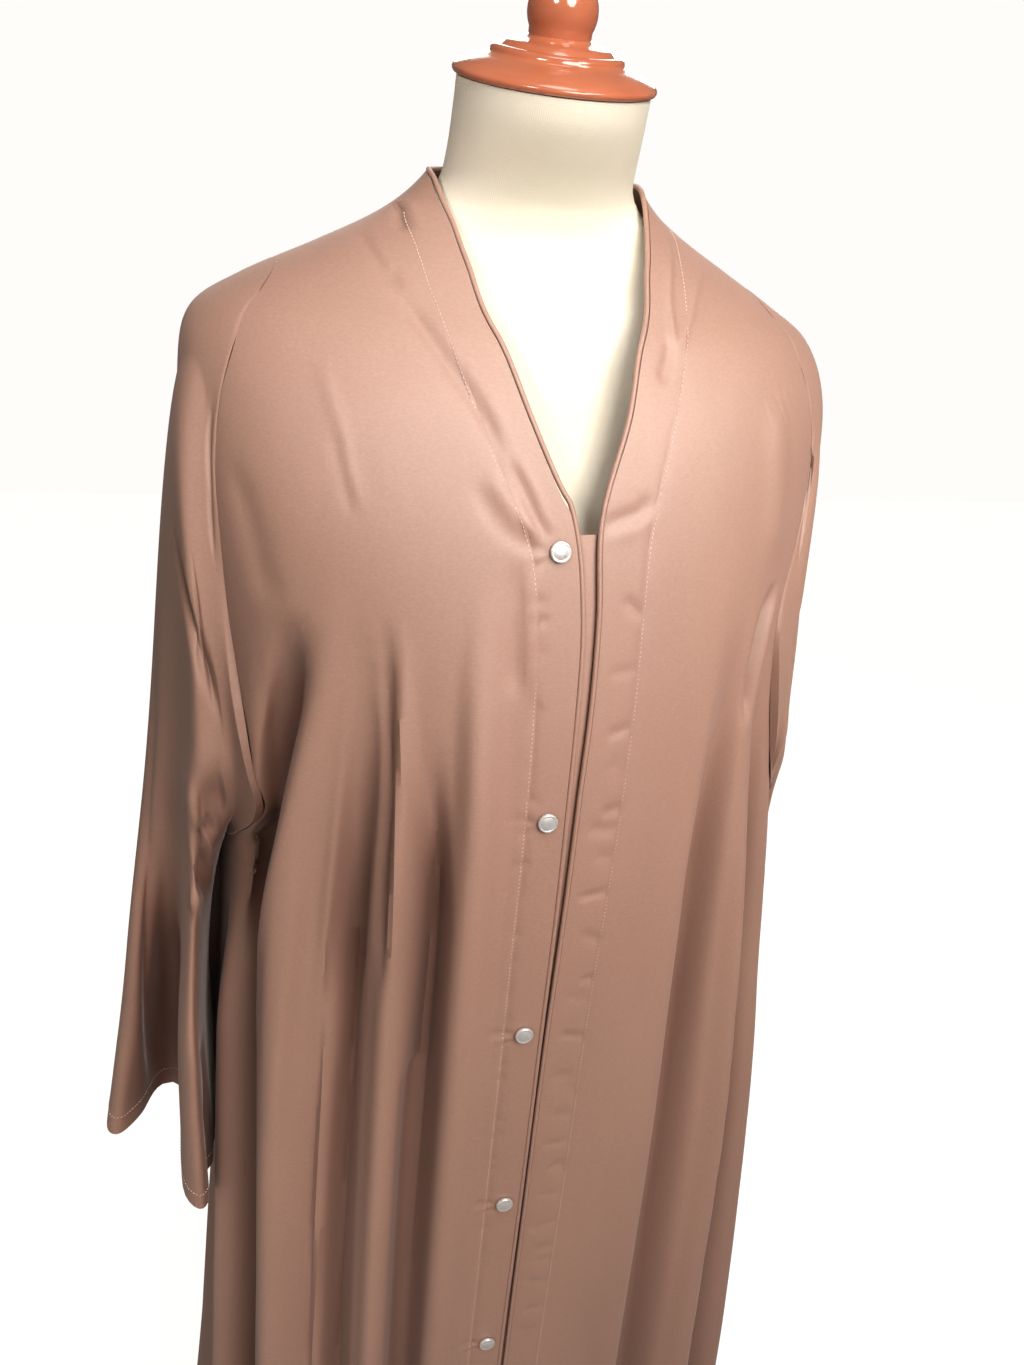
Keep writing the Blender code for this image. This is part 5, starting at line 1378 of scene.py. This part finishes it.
def painted(name, colour, roughness, metallic=0.0):
    """A new material of this colour, whose nodes the caller may add to."""
    made = Nodes(bpy.data.materials.new(name), "Principled BSDF")
    made.set("Base Color", (*colour, 1.0))
    made.set("Roughness", roughness)
    made.set("Metallic", metallic)
    return made


SATIN = (0.445, 0.236, 0.168)
FOLD_SHADE_REACH = 0.07  # how far off other cloth still darkens a fold's painted shade
FOLD_PAINTED_SHADE = (0.28, 0.165, 0.12)  # painted shade: deep in a fold the colour is multiplied towards this, standing in for its shadow and the light bounced off its dyed walls
SATIN_THREAD, SATIN_THREAD_DEPTH = 0.45 * MM, 0.035 * MM
SATIN_GLOSS = {
    "IOR": 1.9,
    "Specular IOR Level": 0.65,
    "Specular Tint": (1.0, 0.96, 0.89, 1.0),
    "Sheen Weight": 0.2,
    "Sheen Roughness": 0.4,
    "Sheen Tint": (1.0, 0.86, 0.80, 1.0),
}


def satin_material(name="satin", shade=1.0, reach=FOLD_SHADE_REACH):
    """Fine satin: long floats that shine down the cloth, a faint thread, slow changes of tone, and painted
    shade that darkens its colour in folds.

    reach is how far off other cloth still darkens this painted shade. shade scales the colour; above 1 it is
    a lighter copy that paints a highlight.
    """
    made = painted(name, SATIN, 0.56)
    tone = made.noise((9, 9, 3))
    # shade above 1 lightens the colour, a painted highlight; the piping uses it
    low, high = ([c * shade * k for c in SATIN] for k in (0.93, 1.06))
    open_cloth = made.ramp(tone, 0.3, 0.7, low, high)
    # painted shade: where other cloth is near, as deep in a fold, the colour is darkened towards the fold
    # shade
    shade_occlusion = made.node("ShaderNodeAmbientOcclusion", Distance=reach)
    shade_occlusion.samples = 6
    deep = made.ramp(shade_occlusion.outputs["AO"], 0.25, 0.95, FOLD_PAINTED_SHADE, (1, 1, 1))
    grain = made.noise((420, 420, 1100), 2.0, 0.7)
    woven = made.ramp(grain, 0.3, 0.7, (0.90, 0.89, 0.88), (1.05, 1.05, 1.05))
    # the painted fold shade is multiplied into the cloth's own colour
    made.set("Base Color", made.mix(made.mix(open_cloth, deep), woven))
    thread = made.threads(SATIN_THREAD, 0.4, (0, 0, math.radians(40)))
    slub = made.noise((1200, 1200, 45), 2.0)
    wrinkle = made.noise((46, 46, 22), 3.0, 0.6)
    weave = made.bump(made.math("ADD", thread, slub), SATIN_THREAD_DEPTH)
    made.set("Normal", made.bump(wrinkle, 0.4 * MM, Normal=weave))
    for socket, value in SATIN_GLOSS.items():
        made.set(socket, value)
    return made.owner


def linen_material():
    """Undyed form cover: plain weave, faint stains."""
    made = painted("form_linen", (0.90, 0.82, 0.66), 0.9)
    stain = made.noise((14, 14, 10), 4.0, 0.6)
    made.set("Base Color", made.ramp(stain, 0.25, 0.75, (0.86, 0.775, 0.605), (0.92, 0.845, 0.69)))
    warp, weft = made.threads(1.1 * MM, 0.8), made.threads(1.0 * MM, 0.8, (0, math.radians(90), 0))
    made.set("Normal", made.bump(made.math("ADD", warp, weft), 0.08 * MM))
    return made.owner


def lacquer_material():
    """Terracotta lacquer on turned wood: thicker and darker in places, a little uneven."""
    made = painted("form_lacquer", (0.52, 0.15, 0.07), 0.15)
    tone = made.noise((30, 30, 60))
    made.set("Base Color", made.ramp(tone, 0.3, 0.75, (0.46, 0.125, 0.055), (0.58, 0.175, 0.085)))
    made.set("Normal", made.bump(made.noise((120, 120, 240), 2.0), 0.12 * MM))
    made.set("Coat Weight", 0.5)
    made.set("Coat Roughness", 0.06)
    return made.owner


def metal_material(name, colour, low, high, streaks, metallic=1.0):
    """Metal with fine handling marks; streaks is the noise scale on each axis."""
    made = painted(name, colour, (low + high) / 2, metallic)
    marks = made.noise(streaks)
    made.set("Roughness", made.ramp(marks, 0.3, 0.7, (low,) * 3, (high,) * 3))
    made.set("Base Color", made.ramp(marks, 0.2, 0.8, [c * 0.93 for c in colour], colour))
    return made.owner


def thread_material():
    """Sewing thread a little lighter than the cloth."""
    made = painted("thread", (0.76, 0.54, 0.45), 0.45)
    ply = made.noise((900, 900, 900), 2.0)
    made.set("Base Color", made.ramp(ply, 0.3, 0.7, (0.66, 0.44, 0.36), (0.86, 0.63, 0.54)))
    made.set("Sheen Weight", 0.3)
    return made.owner


LIGHT_COLOUR = (1.0, 0.98, 0.96)
ROOM_COLOUR = (1.0, 0.83, 0.70)  # of the light that the room throws on the part
AMBIENT, BACKGROUND, GLOSS_ROOM = 0.08, 1.0, 0.1  # strength of the room as lit, seen and mirrored
FLOOR_GLOW = 0.95  # of the floor as seen


def floor_material():
    """Pale paint that throws back less light than it shows, so the cloth's shaded folds stay deep."""
    made = painted("floor_paint", (0.25, 0.22, 0.20), 0.9)
    seen = made.node("ShaderNodeLightPath").outputs["Is Camera Ray"]
    made.set("Emission Color", (*LIGHT_COLOUR, 1.0))
    made.set("Emission Strength", made.math("MULTIPLY", seen, FLOOR_GLOW))
    made.set("Specular IOR Level", 0.0)
    return made.owner


# ---------------------------------------------------------------- floor, light, camera
CAMERA_PLACE = (-0.172, -0.683, 1.504)
CAMERA_TURN, CAMERA_PITCH, CAMERA_ROLL = (math.radians(a) for a in (15.2, 27.2, 5.2))
CAMERA_LENS, CAMERA_LONG_SIDE = 27.82, 36  # mm


def build_camera():
    """Looks down at the front from the wearer's right, a little rolled."""
    ahead = Vector((math.sin(CAMERA_TURN), math.cos(CAMERA_TURN), 0))
    right = Vector((math.cos(CAMERA_TURN), -math.sin(CAMERA_TURN), 0))
    down = Vector((0, 0, -1))
    sight = ahead * math.cos(CAMERA_PITCH) + down * math.sin(CAMERA_PITCH)
    below = down * math.cos(CAMERA_PITCH) - ahead * math.sin(CAMERA_PITCH)
    x_axis = right * math.cos(CAMERA_ROLL) - below * math.sin(CAMERA_ROLL)
    y_axis = -(right * math.sin(CAMERA_ROLL) + below * math.cos(CAMERA_ROLL))
    data = bpy.data.cameras.new("camera")
    data.lens = CAMERA_LENS
    data.sensor_width = CAMERA_LONG_SIDE
    camera = placed("camera", data)
    turn = Matrix((x_axis, y_axis, -sight)).transposed().to_4x4()
    camera.matrix_world = Matrix.Translation(CAMERA_PLACE) @ turn
    bpy.context.scene.camera = camera


LIGHTS = (  # name, place, target, width (the ceiling's: degrees), power, degrees of the cone of a spot
    ("front_softbox", (0.3, -1.5, 2.15), (0, -0.15, 1.25), 0.8, 24, 0),
    ("side_spot", (0.9, -1.1, 2.4), (0.18, -0.02, 1.34), 0.4, 110, 30),
    ("ceiling_glow", (0.1, -0.8, 3.0), (0, 0, 0), 25, 0.9, 0),
    ("back_softbox", (0.5, 1.9, 2.2), (0, 0, 0.9), 1.2, 16, 0),
    ("low_spot", (-0.9, -1.2, 0.75), (-0.15, -0.1, 0.68), 0.3, 22, 26),
    ("neck_spot", (-0.75, -0.95, 1.95), (0.01, 0, 1.48), 0.2, 60, 17),
)


def build_light(name, place, target, width, power, cone):
    """A round softbox; with a cone, a spot; and with a power for each square metre, the far ceiling."""
    kind = "SPOT" if cone else "SUN" if name.startswith("ceiling") else "AREA"
    data = bpy.data.lights.new(name, kind)
    data.energy = power
    data.color = LIGHT_COLOUR
    if kind == "AREA":
        data.shape = "DISK"
        data.size = width
    elif kind == "SUN":
        data.angle = math.radians(width)
    else:
        data.shadow_soft_size = width
        data.spot_size = math.radians(cone)
        data.spot_blend = 1.0
    lamp = placed(name, data)
    lamp.location = place
    lamp.rotation_mode = "QUATERNION"
    lamp.rotation_quaternion = (Vector(target) - Vector(place)).to_track_quat("-Z", "Y")


FLOOR_HALF = 4.0


def build_stage(paint):
    """The floor, and the room: bright to the camera, faint as a light and in reflections."""
    corners = [(FLOOR_HALF * x, FLOOR_HALF * y, 0) for x, y in ((-1, -1), (1, -1), (1, 1), (-1, 1))]
    mesh = bpy.data.meshes.new("floor")
    mesh.from_pydata(corners, [], [(0, 1, 2, 3)])
    mesh.materials.append(paint)
    placed("floor", mesh)
    room = Nodes(bpy.data.worlds.new("world"), "Background")
    rays = room.node("ShaderNodeLightPath").outputs
    seen = rays["Is Camera Ray"]
    room.set("Color", room.mix((*ROOM_COLOUR, 1.0), (*LIGHT_COLOUR, 1.0), "MIX", seen))
    strength = room.math("MULTIPLY_ADD", seen, BACKGROUND - AMBIENT, AMBIENT)
    room.set("Strength", room.math("MULTIPLY_ADD", rays["Is Glossy Ray"], GLOSS_ROOM, strength))
    bpy.context.scene.world = room.owner
    for light in LIGHTS:
        build_light(*light)


def main():
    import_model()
    build_camera()
    # the cloth's satin carries painted shade in its folds
    satin = satin_material()
    bpy.context.scene.view_settings.view_transform = "Standard"
    # the piping's satin is a 5 % lighter copy, a painted highlight on the raised cord, and its short reach
    # paints shade only beside the cord
    piping = satin_material("piping", 1.05, 0.003)
    thread = thread_material()
    metal = metal_material("snap_metal", (0.93, 0.90, 0.87), 0.26, 0.40, (400, 400, 400), 0.6)
    linen = linen_material()
    lacquer = lacquer_material()
    steel = metal_material("pole_steel", (0.62, 0.62, 0.64), 0.24, 0.42, (300, 300, 12))
    build_stage(floor_material())
    for side in (-1, 1):
        build_front(side, satin)
        build_sleeve(side, satin, thread)
        build_band(side, satin)
        build_band_stitches(side, thread)
    build_back(satin)
    build_neck_band(satin)
    # the satin in the closure has a short reach, so its painted shade darkens only the narrowest gaps
    build_underlap(satin_material("satin_in_the_closure", 1.0, 0.003))
    build_piping(piping)
    build_snaps(metal)
    build_form(linen)
    build_cap(lacquer)
    build_stand(lacquer, steel)


main()
